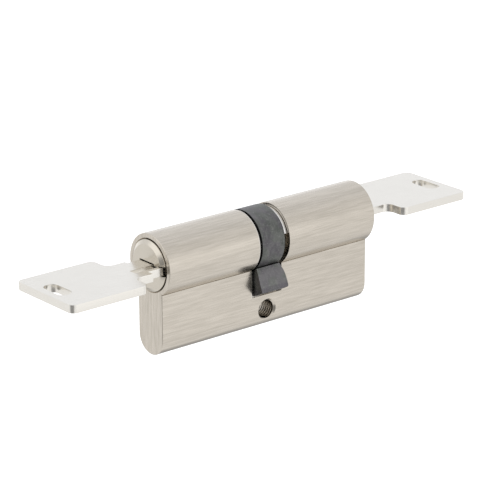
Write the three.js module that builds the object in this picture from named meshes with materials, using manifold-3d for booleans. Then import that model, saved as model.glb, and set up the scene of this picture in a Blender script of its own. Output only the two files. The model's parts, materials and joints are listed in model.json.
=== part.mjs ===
// A double lock cylinder of the euro profile for a door lock case, with a key in each end.
// Lengths are in millimetres, +Z is up and X runs along the barrel. The origin is the centre of the
// fixing-screw hole, which the lengths of both halves are counted from.
// Side "b" is built outward along +X. Side "a" is the same side turned half a turn about Z.

import * as THREE from "three";
import { mergeVertices } from "three/addons/utils/BufferGeometryUtils.js";
import Module from "manifold-3d";

const wasm = await Module();
wasm.setup();

// ---------------------------------------------------------------- driving dimensions

// Housing
const HALF_LENGTH = 35; // fixing screw to either end face
const BARREL_R = 8.5;
const PROFILE_HEIGHT = 33; // top of the barrel to the bottom of the stem
const STEM_WIDTH = 10;
const END_CHAMFER = 0.35;
const AXIS_HEIGHT = 19; // barrel axis above the fixing screw
const SCREW_HOLE_R = 2.1; // core of an M5 thread
const SCREW_RIM_R = 3; // mouth of the countersink
const SLOT_WIDTH = 10; // the gap that the cam turns in

// Cam
const CAM_BELOW = 0.05; // ring below the barrel's surface
const CAM_BORE_STEP = 1.1; // ring's bore outside the plug's radius
const CAM_LEFT_GAP = 0.55; // slot's left face to the ring
const CAM_RIGHT_GAP = 1.65;
const WEB_HALF = 1.9; // half width of the web that the plugs carry
const LEVER_R = 15.1; // reach of the lever's tip
const LEVER_HALF = 3.45; // half thickness of the lever
const LEVER_ANGLE = 21; // degrees from straight down, towards -Y
const LEVER_ROOT_GAP = 1.15; // slot's right face to the lever's root
const LEVER_TIP_GAP = 0.3; // slot's right face to the lever's widest point
const LEVER_TIP_CORNER = 0.7;
const LEVER_WAIST = 0.95; // ring's surface down to the narrowest level
const LEVER_FLARE = 2.55; // ring's surface down to the bend in the flared side
const LEVER_FILLET = 0.15;

// Plug
const PLUG_R = 6.5;
const PLUG_INNER = 0.35; // inner end, from the middle of the slot
const HEAD_STEP = 0.5; // head outside the plug's radius
const HEAD_LENGTH = 2.4;
const HEAD_PROUD = 1; // how far the face stands out of the housing
const FACE_BEVEL = 1.15; // radial
const FACE_BEVEL_DEPTH = 0.75; // axial
const CLIP_GROOVE_DEPTH = 0.9;

// Retaining clip
const CLIP_STAND = 1.2; // clip outside the plug's radius
const CLIP_THICKNESS = 0.92;
const CLIP_SPAN = 210; // degrees of ring
const CLIP_START = -135; // degrees from the top, towards -Y

// Key
const KEY_THICKNESS = 2.3;
const KEY_CENTRE = 2.2; // the bow's centre line, off the barrel axis
const KEY_EDGE = 0.2; // broken edge round the key
const BLADE_INSET = 0.3; // blade edge inside the plug's radius, at the open side of the keyway
const BLADE_FAR = -2.7;
const TIP_HOME = 7.1; // tip from the middle of the slot, key fully home
const TIP_BEVEL = 2.6;
const NECK_GAP = 2.5; // plug face to the neck's front, key fully home
const NECK_LENGTH = 3.7;
const NECK_HALF = 6;
const SHOULDER_R = 2.1; // hollow between neck and bow
const BOW_CORNER_R = 1.9; // bow corner beside the neck
const BOW_END_R = 1;
const BOW_HALF = 12.05;
const BOW_END = 29.6; // neck front to the bow's far edge
const RING_SLOT_WIDTH = 4;
const RING_SLOT_LENGTH = 9;
const RING_SLOT_CENTRE = 25.35; // neck front to the slot's middle
const GROOVE_LAND = 1.1; // blade edge to the long groove milled in each face
const GROOVE_WIDTH = 2.3;
const GROOVE_DEPTH = 0.55;
const GROOVE_RUN = 3.4; // how far the groove runs on into the neck
const DIMPLE_DEPTHS = [0.5, 0.25, 0.42, 0.2, 0.35];
const DIMPLE_R = 0.62;

// Clutch
const COUPLER_TRAVEL = 1.6; // between engaged and free
const BAR_THICKNESS = 1.4;
const BAR_WIDTH = 2.6;
const BAR_END_GAP = 0.25; // ears to the ring's bore
const BAR_PLAY = 0.35; // free bar to the end of its slot in the plug
const BAR_START = 0.45; // engaged bar, from the middle of the slot
const NOSE_R = 1.45;
const CLUTCH_SPRING_TURNS = 3;

// Pin stacks
const FIRST_CHAMBER = 12.5; // innermost chamber, from the middle
const CHAMBER_PITCH = 4;
const CHAMBER_COUNT = 5;
const PIN_R = 1.35;
const PIN_TIP_R = 0.4;
const PIN_NECK_R = 0.52;
const PIN_EDGE = 0.3;
const DRIVER_LENGTH = 5.5;
const CHAMBER_PLUG_LENGTH = 2;
const CHAMBER_PLUG_INSET = 0.4; // below the stem's bottom line
const WIRE_R = 0.15;
const SPRING_R = 0.98; // to the middle of the wire
const SPRING_TURNS = 5;

// Clearances
const RUNNING = 0.2; // plug body in its bore, and the cam's web on the plug
const HEAD_GAP = 0.14; // plug head in its seat
const SEAT_GAP = 0.15; // axial, under the plug head
const TIP_GAP = 0.35; // lever tip to the slot's floor
const KEYWAY_GAP = 0.2; // key to keyway, all round
const PIN_GAP = 0.15; // pins in their chambers
const GROOVE_GAP = 0.1; // clip in its groove, each side
const BAR_GAP = 0.2; // coupler bar in plug slot and web notch
const STACK_GAP = 0.1; // between the ends of stacked pieces
const NOSE_GAP = 0.3; // key tip to coupler nose
const SPRING_GAP = 0.15;

// ---------------------------------------------------------------- solids

const FINE = 48; // facets of a turned face
const COARSE = 12; // facets of a pin or chamber
const COIL_STEPS = 6; // facets of one turn of a pin spring
const CLUTCH_COIL_STEPS = 8;
const WIRE_SIDES = 5; // facets round the wire
const OVERCUT = 1; // how far a cutter runs past the faces it cuts

function solid(geometry) {
  const bare = geometry.clone();
  bare.deleteAttribute("normal");
  bare.deleteAttribute("uv");
  const merged = mergeVertices(bare, 1e-4);
  return new wasm.Manifold(
    new wasm.Mesh({
      numProp: 3,
      vertProperties: new Float32Array(merged.getAttribute("position").array),
      triVerts: new Uint32Array(merged.getIndex().array),
    }),
  );
}

function geometryOf(body) {
  const mesh = body.getMesh();
  const geometry = new THREE.BufferGeometry();
  geometry.setAttribute("position", new THREE.BufferAttribute(mesh.vertProperties, 3));
  geometry.setIndex(new THREE.BufferAttribute(mesh.triVerts, 1));
  const flat = geometry.toNonIndexed();
  flat.computeVertexNormals();
  return flat;
}

// A shape drawn in (Y, Z) and extruded along X from x0 to x1.
function alongX(shape, x0, x1, options = {}) {
  const geometry = new THREE.ExtrudeGeometry(shape, {
    depth: x1 - x0,
    bevelEnabled: false,
    curveSegments: 14,
    ...options,
  });
  geometry.applyMatrix4(new THREE.Matrix4().set(0, 0, 1, x0, 1, 0, 0, 0, 0, 1, 0, 0, 0, 0, 0, 1));
  return geometry;
}

function box(x0, x1, y0, y1, z0, z1) {
  const geometry = new THREE.BoxGeometry(x1 - x0, y1 - y0, z1 - z0);
  geometry.translate((x0 + x1) / 2, (y0 + y1) / 2, (z0 + z1) / 2);
  return solid(geometry);
}

// A solid of revolution about X. The profile is [radius, x] pairs with x rising along its outer side.
function turned(profile, segments = FINE) {
  const points = profile.map(([r, x]) => new THREE.Vector2(r, x));
  const geometry = new THREE.LatheGeometry(points, segments);
  geometry.applyMatrix4(new THREE.Matrix4().set(0, 1, 0, 0, 1, 0, 0, 0, 0, 0, -1, 0, 0, 0, 0, 1));
  return geometry;
}

function rod(r, x0, x1, segments = FINE) {
  return solid(turned([[0, x0], [r, x0], [r, x1], [0, x1]], segments));
}

// A solid of revolution about the vertical line through (x, 0), from [radius, z] pairs with z rising.
function upright(x, profile, segments = COARSE) {
  const points = profile.map(([r, z]) => new THREE.Vector2(r, z));
  const geometry = new THREE.LatheGeometry(points, segments);
  geometry.rotateX(Math.PI / 2);
  geometry.translate(x, 0, 0);
  return geometry;
}

// The wire of a coil spring along local Z, from z0 to z1.
class Helix extends THREE.Curve {
  constructor(radius, z0, z1, turns) {
    super();
    Object.assign(this, { radius, z0, z1, turns });
  }

  getPoint(t, target = new THREE.Vector3()) {
    const angle = 2 * Math.PI * this.turns * t;
    const z = this.z0 + (this.z1 - this.z0) * t;
    return target.set(this.radius * Math.cos(angle), this.radius * Math.sin(angle), z);
  }
}

function coil(z0, z1, turns, stepsPerTurn = COIL_STEPS) {
  const section = new THREE.Shape();
  for (let i = 0; i < WIRE_SIDES; i += 1) {
    const angle = (2 * Math.PI * i) / WIRE_SIDES;
    const point = [WIRE_R * Math.cos(angle), WIRE_R * Math.sin(angle)];
    if (i === 0) section.moveTo(...point);
    else section.lineTo(...point);
  }
  const path = new Helix(SPRING_R, z0 + WIRE_R, z1 - WIRE_R, turns);
  return new THREE.ExtrudeGeometry(section, { steps: turns * stepsPerTurn, extrudePath: path });
}

// ---------------------------------------------------------------- finishes

const satinNickel = new THREE.MeshStandardMaterial({ color: 0xc9bfb4, roughness: 0.38, metalness: 1 });
const plugNickel = new THREE.MeshStandardMaterial({ color: 0xcdc4b8, roughness: 0.34, metalness: 1 });
const keyNickel = new THREE.MeshStandardMaterial({ color: 0xe6e4e0, roughness: 0.22, metalness: 1 });
const sinteredSteel = new THREE.MeshStandardMaterial({ color: 0x5c5b5e, roughness: 0.6, metalness: 0.8 });
const brightSteel = new THREE.MeshStandardMaterial({ color: 0xd8d8d6, roughness: 0.2, metalness: 1 });
const pinBrass = new THREE.MeshStandardMaterial({ color: 0xc7a35a, roughness: 0.35, metalness: 1 });
const springSteel = new THREE.MeshStandardMaterial({ color: 0xa7a9ad, roughness: 0.3, metalness: 1 });

const part = new THREE.Group();
const barrel = new THREE.Group(); // everything is drawn about the barrel axis
barrel.position.z = AXIS_HEIGHT;
part.add(barrel);

const sides = {
  a: new THREE.Group(),
  b: new THREE.Group(),
};
sides.a.rotation.z = Math.PI;
barrel.add(sides.a, sides.b);

function place(parent, name, geometry, material) {
  const mesh = new THREE.Mesh(geometry, material);
  mesh.name = name;
  parent.add(mesh);
}

// ---------------------------------------------------------------- derived places

const STEM_BOTTOM = BARREL_R - PROFILE_HEIGHT;
const BORE_R = PLUG_R + RUNNING;
const HEAD_R = PLUG_R + HEAD_STEP;
const CLIP_GROOVE_R = PLUG_R - CLIP_GROOVE_DEPTH;
const CLIP_R = PLUG_R + CLIP_STAND;
const CAM_R = BARREL_R - CAM_BELOW;
const CAM_BORE_R = PLUG_R + CAM_BORE_STEP;
const BAR_R = CAM_BORE_R - BAR_END_GAP;
const COUPLER_SLOT_END = BAR_START + COUPLER_TRAVEL + BAR_THICKNESS + BAR_PLAY;
const HEAD_BACK = HALF_LENGTH + HEAD_PROUD - HEAD_LENGTH;
const FACE_X = HALF_LENGTH + HEAD_PROUD;
const SLOT_FACE = SLOT_WIDTH / 2;
const CAM_LEFT = SLOT_FACE - CAM_LEFT_GAP;
const CAM_RIGHT = SLOT_FACE - CAM_RIGHT_GAP;
const LEVER_ROOT_RIGHT = SLOT_FACE - LEVER_ROOT_GAP;
const LEVER_TIP_RIGHT = SLOT_FACE - LEVER_TIP_GAP;
const KEY_HALF = KEY_THICKNESS / 2;
const KEYWAY_HALF = KEY_HALF + KEYWAY_GAP;
const GROOVE_FLOOR = KEY_HALF - GROOVE_DEPTH;
const BLADE_NEAR = PLUG_R - BLADE_INSET;
const BLADE_MIDDLE = (BLADE_NEAR + BLADE_FAR) / 2;
const BLADE_LENGTH = FACE_X + NECK_GAP - TIP_HOME; // neck front to tip
const GROOVE_NEAR = BLADE_NEAR - GROOVE_LAND; // the groove in the key's upper face
const GROOVE_FAR = GROOVE_NEAR - GROOVE_WIDTH;
const NOSE_END = TIP_HOME - NOSE_GAP;
const CHAMBER_R = PIN_R + PIN_GAP;
const CLIP_OUTER_X = SLOT_FACE - GROOVE_GAP;
const CLIP_INNER_X = CLIP_OUTER_X - CLIP_THICKNESS;
const KEY_SIDE_GROOVE_FAR = 2 * BLADE_MIDDLE - GROOVE_NEAR; // the groove on the key's underside
const KEY_SIDE_GROOVE_NEAR = 2 * BLADE_MIDDLE - GROOVE_FAR;
const chambers = Array.from({ length: CHAMBER_COUNT }, (_, i) => FIRST_CHAMBER + CHAMBER_PITCH * i);
const DRIVER_TOP = -BORE_R - STACK_GAP;
const DRIVER_BOTTOM = DRIVER_TOP - DRIVER_LENGTH;
const CHAMBER_PLUG_BOTTOM = STEM_BOTTOM + CHAMBER_PLUG_INSET;
const CHAMBER_PLUG_TOP = CHAMBER_PLUG_BOTTOM + CHAMBER_PLUG_LENGTH;

// ---------------------------------------------------------------- housing

function housing() {
  const half = STEM_WIDTH / 2;
  const seam = -Math.sqrt(BARREL_R ** 2 - half ** 2);
  const seamAngle = Math.atan2(seam, half);
  const profile = new THREE.Shape();
  profile.moveTo(half, seam);
  profile.absarc(0, 0, BARREL_R, seamAngle, Math.PI - seamAngle, false);
  profile.lineTo(-half, STEM_BOTTOM + half);
  profile.absarc(0, STEM_BOTTOM + half, half, Math.PI, 2 * Math.PI, false);
  profile.closePath();
  const bar = alongX(profile, END_CHAMFER - HALF_LENGTH, HALF_LENGTH - END_CHAMFER, {
    bevelEnabled: true,
    bevelThickness: END_CHAMFER,
    bevelSize: END_CHAMFER,
    bevelOffset: -END_CHAMFER,
    bevelSegments: 1,
  });
  let body = solid(bar)
    .subtract(rod(BORE_R, -HALF_LENGTH - OVERCUT, HALF_LENGTH + OVERCUT))
    .subtract(rod(LEVER_R + TIP_GAP, -SLOT_FACE, SLOT_FACE, 2 * FINE));
  for (const side of [-1, 1]) {
    const seat = side * (HEAD_BACK - SEAT_GAP);
    const outside = side * (HALF_LENGTH + OVERCUT);
    body = body.subtract(rod(HEAD_R + HEAD_GAP, Math.min(seat, outside), Math.max(seat, outside)));
    for (const x of chambers) {
      const drill = [[0, STEM_BOTTOM - OVERCUT], [CHAMBER_R, STEM_BOTTOM - OVERCUT], [CHAMBER_R, 0], [0, 0]];
      body = body.subtract(solid(upright(side * x, drill)));
    }
  }
  return body.subtract(screwHole());
}

// The fixing-screw hole runs along Y through the stem and is countersunk on both faces.
function screwHole() {
  const face = STEM_WIDTH / 2;
  const sink = SCREW_RIM_R - SCREW_HOLE_R;
  const profile = [
    [0, -face - OVERCUT],
    [SCREW_RIM_R, -face - OVERCUT],
    [SCREW_RIM_R, -face],
    [SCREW_HOLE_R, -face + sink],
    [SCREW_HOLE_R, face - sink],
    [SCREW_RIM_R, face],
    [SCREW_RIM_R, face + OVERCUT],
    [0, face + OVERCUT],
  ];
  const geometry = new THREE.LatheGeometry(profile.map(([r, y]) => new THREE.Vector2(r, y)), 32);
  geometry.translate(0, 0, -AXIS_HEIGHT);
  return solid(geometry);
}

// ---------------------------------------------------------------- plug

function plug() {
  const body = solid(turned([
    [0, PLUG_INNER],
    [PLUG_R, PLUG_INNER],
    [PLUG_R, CLIP_INNER_X - GROOVE_GAP],
    [CLIP_GROOVE_R, CLIP_INNER_X - GROOVE_GAP],
    [CLIP_GROOVE_R, SLOT_FACE],
    [PLUG_R, SLOT_FACE],
    [PLUG_R, HEAD_BACK],
    [HEAD_R, HEAD_BACK],
    [HEAD_R, FACE_X - FACE_BEVEL_DEPTH],
    [HEAD_R - FACE_BEVEL, FACE_X],
    [0, FACE_X],
  ]));
  const keywayStart = NOSE_END - OVERCUT / 2;
  const keyway = box(
    keywayStart,
    FACE_X + OVERCUT,
    BLADE_FAR - KEYWAY_GAP,
    HEAD_R + OVERCUT,
    -KEYWAY_HALF,
    KEYWAY_HALF,
  );
  const rib = box(
    keywayStart - OVERCUT,
    FACE_X + 2 * OVERCUT,
    GROOVE_FAR + KEYWAY_GAP,
    GROOVE_NEAR - KEYWAY_GAP,
    GROOVE_FLOOR + KEYWAY_GAP,
    KEYWAY_HALF + OVERCUT,
  );
  const slotHalf = BAR_WIDTH / 2 + BAR_GAP;
  const slotReach = PLUG_R + OVERCUT;
  const crossSlot = box(PLUG_INNER - OVERCUT, COUPLER_SLOT_END, -slotHalf, slotHalf, -slotReach, slotReach);
  const noseBore = rod(NOSE_R + BAR_GAP, PLUG_INNER, NOSE_END + COUPLER_TRAVEL + BAR_GAP, COARSE);
  let cut = body.subtract(keyway.subtract(rib)).subtract(crossSlot).subtract(noseBore);
  for (const x of chambers) {
    const drill = [[0, -HEAD_R], [CHAMBER_R, -HEAD_R], [CHAMBER_R, 0], [0, 0]];
    cut = cut.subtract(solid(upright(x, drill)));
  }
  return cut;
}

// ---------------------------------------------------------------- retaining clip

function retainingClip() {
  const inner = CLIP_GROOVE_R + SEAT_GAP;
  const toPlane = (degrees) => Math.PI / 2 + THREE.MathUtils.degToRad(degrees);
  const from = toPlane(CLIP_START);
  const to = toPlane(CLIP_START + CLIP_SPAN);
  const ring = new THREE.Shape();
  ring.moveTo(CLIP_R * Math.cos(from), CLIP_R * Math.sin(from));
  ring.absarc(0, 0, CLIP_R, from, to, false);
  ring.lineTo(inner * Math.cos(to), inner * Math.sin(to));
  ring.absarc(0, 0, inner, to, from, true);
  ring.closePath();
  return alongX(ring, CLIP_INNER_X, CLIP_OUTER_X);
}

// ---------------------------------------------------------------- cam

function cam() {
  const ring = solid(turned([
    [CLIP_R + PIN_GAP, -CAM_LEFT],
    [CAM_R, -CAM_LEFT],
    [CAM_R, CAM_RIGHT],
    [CAM_BORE_R, CAM_RIGHT],
    [CAM_BORE_R, WEB_HALF],
    [PLUG_R + RUNNING, WEB_HALF],
    [PLUG_R + RUNNING, -WEB_HALF],
    [CAM_BORE_R, -WEB_HALF],
    [CAM_BORE_R, KEYWAY_GAP - CLIP_INNER_X],
    [CLIP_R + PIN_GAP, KEYWAY_GAP - CLIP_INNER_X],
    [CLIP_R + PIN_GAP, -CAM_LEFT],
  ]));
  const notchHalf = BAR_WIDTH / 2 + BAR_GAP;
  const webReach = WEB_HALF + OVERCUT;
  const notches = box(-webReach, webReach, -notchHalf, notchHalf, -CAM_BORE_R, CAM_BORE_R);
  return ring.subtract(notches).add(lever());
}

// The lever is drawn pointing straight down and then turned to its rest angle.
function lever() {
  const root = (CAM_R + CAM_BORE_R) / 2;
  const tipAngle = Math.asin(LEVER_HALF / LEVER_R);
  const front = new THREE.Shape();
  front.moveTo(-LEVER_HALF, -root);
  front.lineTo(-LEVER_HALF, -LEVER_R * Math.cos(tipAngle));
  front.absarc(0, 0, LEVER_R, 1.5 * Math.PI - tipAngle, 1.5 * Math.PI + tipAngle, false);
  front.lineTo(LEVER_HALF, -root);
  front.closePath();
  const corner = LEVER_TIP_RIGHT - LEVER_TIP_CORNER;
  const side = new THREE.Shape();
  side.moveTo(-CAM_LEFT, -PLUG_R);
  side.lineTo(-CAM_LEFT, -LEVER_R - OVERCUT);
  side.lineTo(corner, -LEVER_R - OVERCUT);
  side.lineTo(corner, -LEVER_R);
  side.quadraticCurveTo(LEVER_TIP_RIGHT, -LEVER_R, LEVER_TIP_RIGHT, LEVER_TIP_CORNER - LEVER_R);
  side.quadraticCurveTo(LEVER_ROOT_RIGHT, -CAM_R - LEVER_FLARE, LEVER_ROOT_RIGHT, -CAM_R - LEVER_WAIST);
  side.quadraticCurveTo(LEVER_ROOT_RIGHT, -CAM_R - LEVER_FILLET, CAM_RIGHT, -CAM_R);
  side.lineTo(CAM_RIGHT, -PLUG_R);
  side.closePath();
  const across = new THREE.ExtrudeGeometry(side, {
    depth: 4 * LEVER_HALF,
    bevelEnabled: false,
    curveSegments: 5,
  });
  across.applyMatrix4(new THREE.Matrix4().set(1, 0, 0, 0, 0, 0, -1, 2 * LEVER_HALF, 0, 1, 0, 0, 0, 0, 0, 1));
  const down = solid(alongX(front, -CAM_LEFT, LEVER_TIP_RIGHT)).intersect(solid(across));
  const inner = rod(root, -CAM_LEFT - OVERCUT, LEVER_TIP_RIGHT + OVERCUT);
  return down.subtract(inner).rotate([-LEVER_ANGLE, 0, 0]);
}

// ---------------------------------------------------------------- clutch

// A coupler is a cross bar in the plug's end slot with a nose that the key's tip pushes.
function coupler(shift) {
  const start = BAR_START + shift;
  const bar = box(start, start + BAR_THICKNESS, -BAR_WIDTH / 2, BAR_WIDTH / 2, -BAR_R, BAR_R)
    .intersect(rod(BAR_R, start - OVERCUT, start + BAR_THICKNESS + OVERCUT));
  return bar.add(rod(NOSE_R, start + BAR_THICKNESS / 2, NOSE_END + shift, COARSE));
}

// The clutch spring sits between the two cross bars.
function clutchSpring() {
  const left = -BAR_START - COUPLER_TRAVEL + SPRING_GAP;
  const right = BAR_START - SPRING_GAP;
  const geometry = coil(left, right, CLUTCH_SPRING_TURNS, CLUTCH_COIL_STEPS);
  geometry.rotateY(Math.PI / 2);
  return geometry;
}

// ---------------------------------------------------------------- key

// The outline of half a key, in (distance from the neck's front, distance from the bow's centre line).
function keyOutline() {
  const nearEdge = BLADE_NEAR - KEY_CENTRE;
  const farEdge = BLADE_FAR - KEY_CENTRE;
  const shoulder = NECK_LENGTH + SHOULDER_R;
  const outline = new THREE.Shape();
  outline.moveTo(0, NECK_HALF);
  outline.lineTo(0, nearEdge);
  outline.lineTo(TIP_BEVEL - BLADE_LENGTH, nearEdge);
  outline.lineTo(-BLADE_LENGTH, nearEdge - TIP_BEVEL);
  outline.lineTo(-BLADE_LENGTH, farEdge + TIP_BEVEL);
  outline.lineTo(TIP_BEVEL - BLADE_LENGTH, farEdge);
  outline.lineTo(0, farEdge);
  outline.lineTo(0, -NECK_HALF);
  outline.lineTo(NECK_LENGTH, -NECK_HALF);
  outline.absarc(NECK_LENGTH, -NECK_HALF - SHOULDER_R, SHOULDER_R, Math.PI / 2, 0, true);
  outline.lineTo(shoulder, BOW_CORNER_R - BOW_HALF);
  const cornerX = shoulder + BOW_CORNER_R;
  const cornerY = BOW_HALF - BOW_CORNER_R;
  outline.absarc(cornerX, -cornerY, BOW_CORNER_R, Math.PI, 1.5 * Math.PI, false);
  outline.absarc(BOW_END - BOW_END_R, BOW_END_R - BOW_HALF, BOW_END_R, 1.5 * Math.PI, 2 * Math.PI, false);
  outline.absarc(BOW_END - BOW_END_R, BOW_HALF - BOW_END_R, BOW_END_R, 0, Math.PI / 2, false);
  outline.absarc(cornerX, cornerY, BOW_CORNER_R, Math.PI / 2, Math.PI, false);
  outline.lineTo(shoulder, NECK_HALF + SHOULDER_R);
  outline.absarc(NECK_LENGTH, NECK_HALF + SHOULDER_R, SHOULDER_R, 0, -Math.PI / 2, true);
  outline.closePath();
  return outline;
}

function ringSlot() {
  const r = RING_SLOT_WIDTH / 2;
  const reach = RING_SLOT_LENGTH / 2 - r;
  const slot = new THREE.Path();
  slot.absarc(RING_SLOT_CENTRE, reach, r, 0, Math.PI, false);
  slot.absarc(RING_SLOT_CENTRE, -reach, r, Math.PI, 2 * Math.PI, false);
  slot.closePath();
  return slot;
}

// A key whose neck front stands at x, lying flat in the keyway.
function key(shift) {
  const neckFront = FACE_X + NECK_GAP + shift;
  const outline = keyOutline();
  outline.holes.push(ringSlot());
  const plate = new THREE.ExtrudeGeometry(outline, {
    depth: KEY_THICKNESS - 2 * KEY_EDGE,
    bevelEnabled: true,
    bevelThickness: KEY_EDGE,
    bevelSize: KEY_EDGE,
    bevelOffset: -KEY_EDGE,
    bevelSegments: 1,
    curveSegments: 6,
  });
  plate.translate(neckFront, KEY_CENTRE, KEY_EDGE - KEY_HALF);
  const tip = neckFront - BLADE_LENGTH - OVERCUT;
  const end = neckFront + GROOVE_RUN;
  let body = solid(plate)
    .subtract(box(tip, end, GROOVE_FAR, GROOVE_NEAR, GROOVE_FLOOR, KEY_HALF + OVERCUT))
    .subtract(box(tip, end, KEY_SIDE_GROOVE_FAR, KEY_SIDE_GROOVE_NEAR, -KEY_HALF - OVERCUT, -GROOVE_FLOOR));
  chambers.forEach((chamber, i) => {
    const depth = DIMPLE_DEPTHS[i];
    const below = [
      [0, -KEY_HALF],
      [DIMPLE_R, -KEY_HALF],
      [DIMPLE_R, -GROOVE_FLOOR],
      [0, depth - GROOVE_FLOOR],
    ];
    const dimple = upright(chamber + shift, below, 12);
    body = body.subtract(solid(dimple));
    dimple.translate(-chamber - shift, 0, 0);
    dimple.rotateX(Math.PI);
    dimple.translate(chamber + shift, 2 * BLADE_MIDDLE, 0);
    body = body.subtract(solid(dimple));
  });
  return body;
}

// ---------------------------------------------------------------- pin stacks

function keyPin(x) {
  const bottom = -Math.sqrt(PLUG_R ** 2 - PIN_R ** 2) + STACK_GAP / 2;
  const shoulder = -KEYWAY_HALF - STACK_GAP;
  return upright(x, [
    [0, bottom],
    [PIN_R, bottom],
    [PIN_R, shoulder - PIN_R / 2],
    [PIN_NECK_R, shoulder],
    [PIN_TIP_R, -GROOVE_FLOOR - KEYWAY_GAP],
    [0, -GROOVE_FLOOR - KEYWAY_GAP],
  ]);
}

function driverPin(x) {
  return upright(x, [
    [0, DRIVER_BOTTOM],
    [PIN_R - PIN_EDGE, DRIVER_BOTTOM],
    [PIN_R, DRIVER_BOTTOM + PIN_EDGE],
    [PIN_R, DRIVER_TOP - PIN_EDGE],
    [PIN_R - PIN_EDGE, DRIVER_TOP],
    [0, DRIVER_TOP],
  ]);
}

function pinSpring(x) {
  const geometry = coil(CHAMBER_PLUG_TOP + STACK_GAP, DRIVER_BOTTOM - STACK_GAP, SPRING_TURNS);
  geometry.translate(x, 0, 0);
  return geometry;
}

function chamberPlug(x) {
  return upright(x, [
    [0, CHAMBER_PLUG_BOTTOM],
    [PIN_R - PIN_EDGE, CHAMBER_PLUG_BOTTOM],
    [PIN_R, CHAMBER_PLUG_BOTTOM + PIN_EDGE],
    [PIN_R, CHAMBER_PLUG_TOP],
    [0, CHAMBER_PLUG_TOP],
  ]);
}

// ---------------------------------------------------------------- assembly

place(barrel, "housing", geometryOf(housing()), satinNickel);
place(barrel, "cam", geometryOf(cam()), sinteredSteel);
place(barrel, "clutch_spring", clutchSpring(), springSteel);

for (const [side, group] of Object.entries(sides)) {
  // Key b is fully home and holds its coupler in the cam. Key a stands off by the coupler's travel.
  const shift = side === "a" ? COUPLER_TRAVEL : 0;
  place(group, `plug_${side}`, geometryOf(plug()), plugNickel);
  place(group, `retaining_clip_${side}`, retainingClip(), brightSteel);
  place(group, `coupler_${side}`, geometryOf(coupler(shift)), brightSteel);
  place(group, `key_${side}`, geometryOf(key(shift)), keyNickel);
  chambers.forEach((x, i) => {
    const stack = `${side}${i + 1}`;
    place(group, `key_pin_${stack}`, keyPin(x), pinBrass);
    place(group, `driver_pin_${stack}`, driverPin(x), pinBrass);
    place(group, `pin_spring_${stack}`, pinSpring(x), springSteel);
    place(group, `chamber_plug_${stack}`, chamberPlug(x), pinBrass);
  });
}

export default part;
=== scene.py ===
"""Looks of a double euro-profile lock cylinder with a key in each end.

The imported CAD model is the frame: every piece here takes its place from it. Pieces are machined in
millimetres about the barrel axis, as side "b" is, and then moved into the frame in metres.
"""

import json
import logging
import math
from collections.abc import Callable, Sequence
from dataclasses import dataclass, field
from enum import Enum

import bmesh
import bpy
from mathutils import Matrix, Vector


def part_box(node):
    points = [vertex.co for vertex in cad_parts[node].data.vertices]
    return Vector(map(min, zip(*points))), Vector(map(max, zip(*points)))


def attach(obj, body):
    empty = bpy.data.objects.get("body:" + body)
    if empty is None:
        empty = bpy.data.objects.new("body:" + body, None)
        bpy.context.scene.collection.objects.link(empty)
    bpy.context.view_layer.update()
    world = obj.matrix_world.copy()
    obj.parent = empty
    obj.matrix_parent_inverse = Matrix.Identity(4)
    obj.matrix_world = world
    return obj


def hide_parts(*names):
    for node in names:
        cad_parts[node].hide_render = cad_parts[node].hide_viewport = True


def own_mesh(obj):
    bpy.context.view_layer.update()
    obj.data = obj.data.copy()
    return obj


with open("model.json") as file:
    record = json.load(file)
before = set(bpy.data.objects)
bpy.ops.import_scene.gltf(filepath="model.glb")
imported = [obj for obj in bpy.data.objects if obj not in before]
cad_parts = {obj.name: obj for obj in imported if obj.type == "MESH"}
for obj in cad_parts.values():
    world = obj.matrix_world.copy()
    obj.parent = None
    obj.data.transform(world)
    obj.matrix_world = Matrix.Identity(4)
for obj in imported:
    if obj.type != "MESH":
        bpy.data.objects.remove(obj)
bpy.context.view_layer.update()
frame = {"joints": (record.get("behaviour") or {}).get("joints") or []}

LOG = logging.getLogger("lock_cylinder")
MM = 0.001
AXIS_HEIGHT = next(j["pos_m"][2] for j in frame["joints"] if j["name"] == "cam_turn") / MM
SMOOTH_ANGLE = math.radians(32)
SHARP_EDGE = math.radians(25)
OVERCUT = 1.0
TOUCH = 0.01
NEAR_AXIS = 0.001
FINE = 128
MEDIUM = 48
SMALL = 32

Point = tuple[float, float]


# ------------------------------------------------------------------ named options


class Axis(Enum):
    """The axis that a shape is pushed along or turned about."""

    X = 0
    Y = 1
    Z = 2

    def lift(self, a: float, b: float, along: float) -> tuple[float, float, float]:
        """Puts a flat point (a, b) at a height along this axis.

        Args:
            a: First flat coordinate: Y for X, X for Y and Z.
            b: Second flat coordinate: Z for X and Y, Y for Z.
            along: Place along the axis.

        Returns:
            The point in space.
        """
        if self is Axis.X:
            return along, a, b
        if self is Axis.Y:
            return a, along, b
        return a, b, along


class Side(Enum):
    """One end of the cylinder. Side A is side B turned half a turn about the vertical."""

    A = "a"
    B = "b"

    def turn(self) -> Matrix:
        """The turn from side B's place to this side's."""
        return Matrix.Rotation(math.pi if self is Side.A else 0.0, 4, "Z")


class Cut(Enum):
    """How two solids are put together."""

    AWAY = "DIFFERENCE"
    JOIN = "UNION"
    COMMON = "INTERSECT"


# ------------------------------------------------------------------ outlines


def arc(centre: Point, radius: float, start: float, end: float, steps: int) -> list[Point]:
    """Points on an arc, both ends included.

    Args:
        centre: Centre of the arc.
        radius: Radius.
        start: First angle, in degrees.
        end: Last angle, in degrees.
        steps: Number of chords.

    Returns:
        The points, in order.
    """
    angles = [math.radians(start + (end - start) * i / steps) for i in range(steps + 1)]
    return [(centre[0] + radius * math.cos(t), centre[1] + radius * math.sin(t)) for t in angles]


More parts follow.
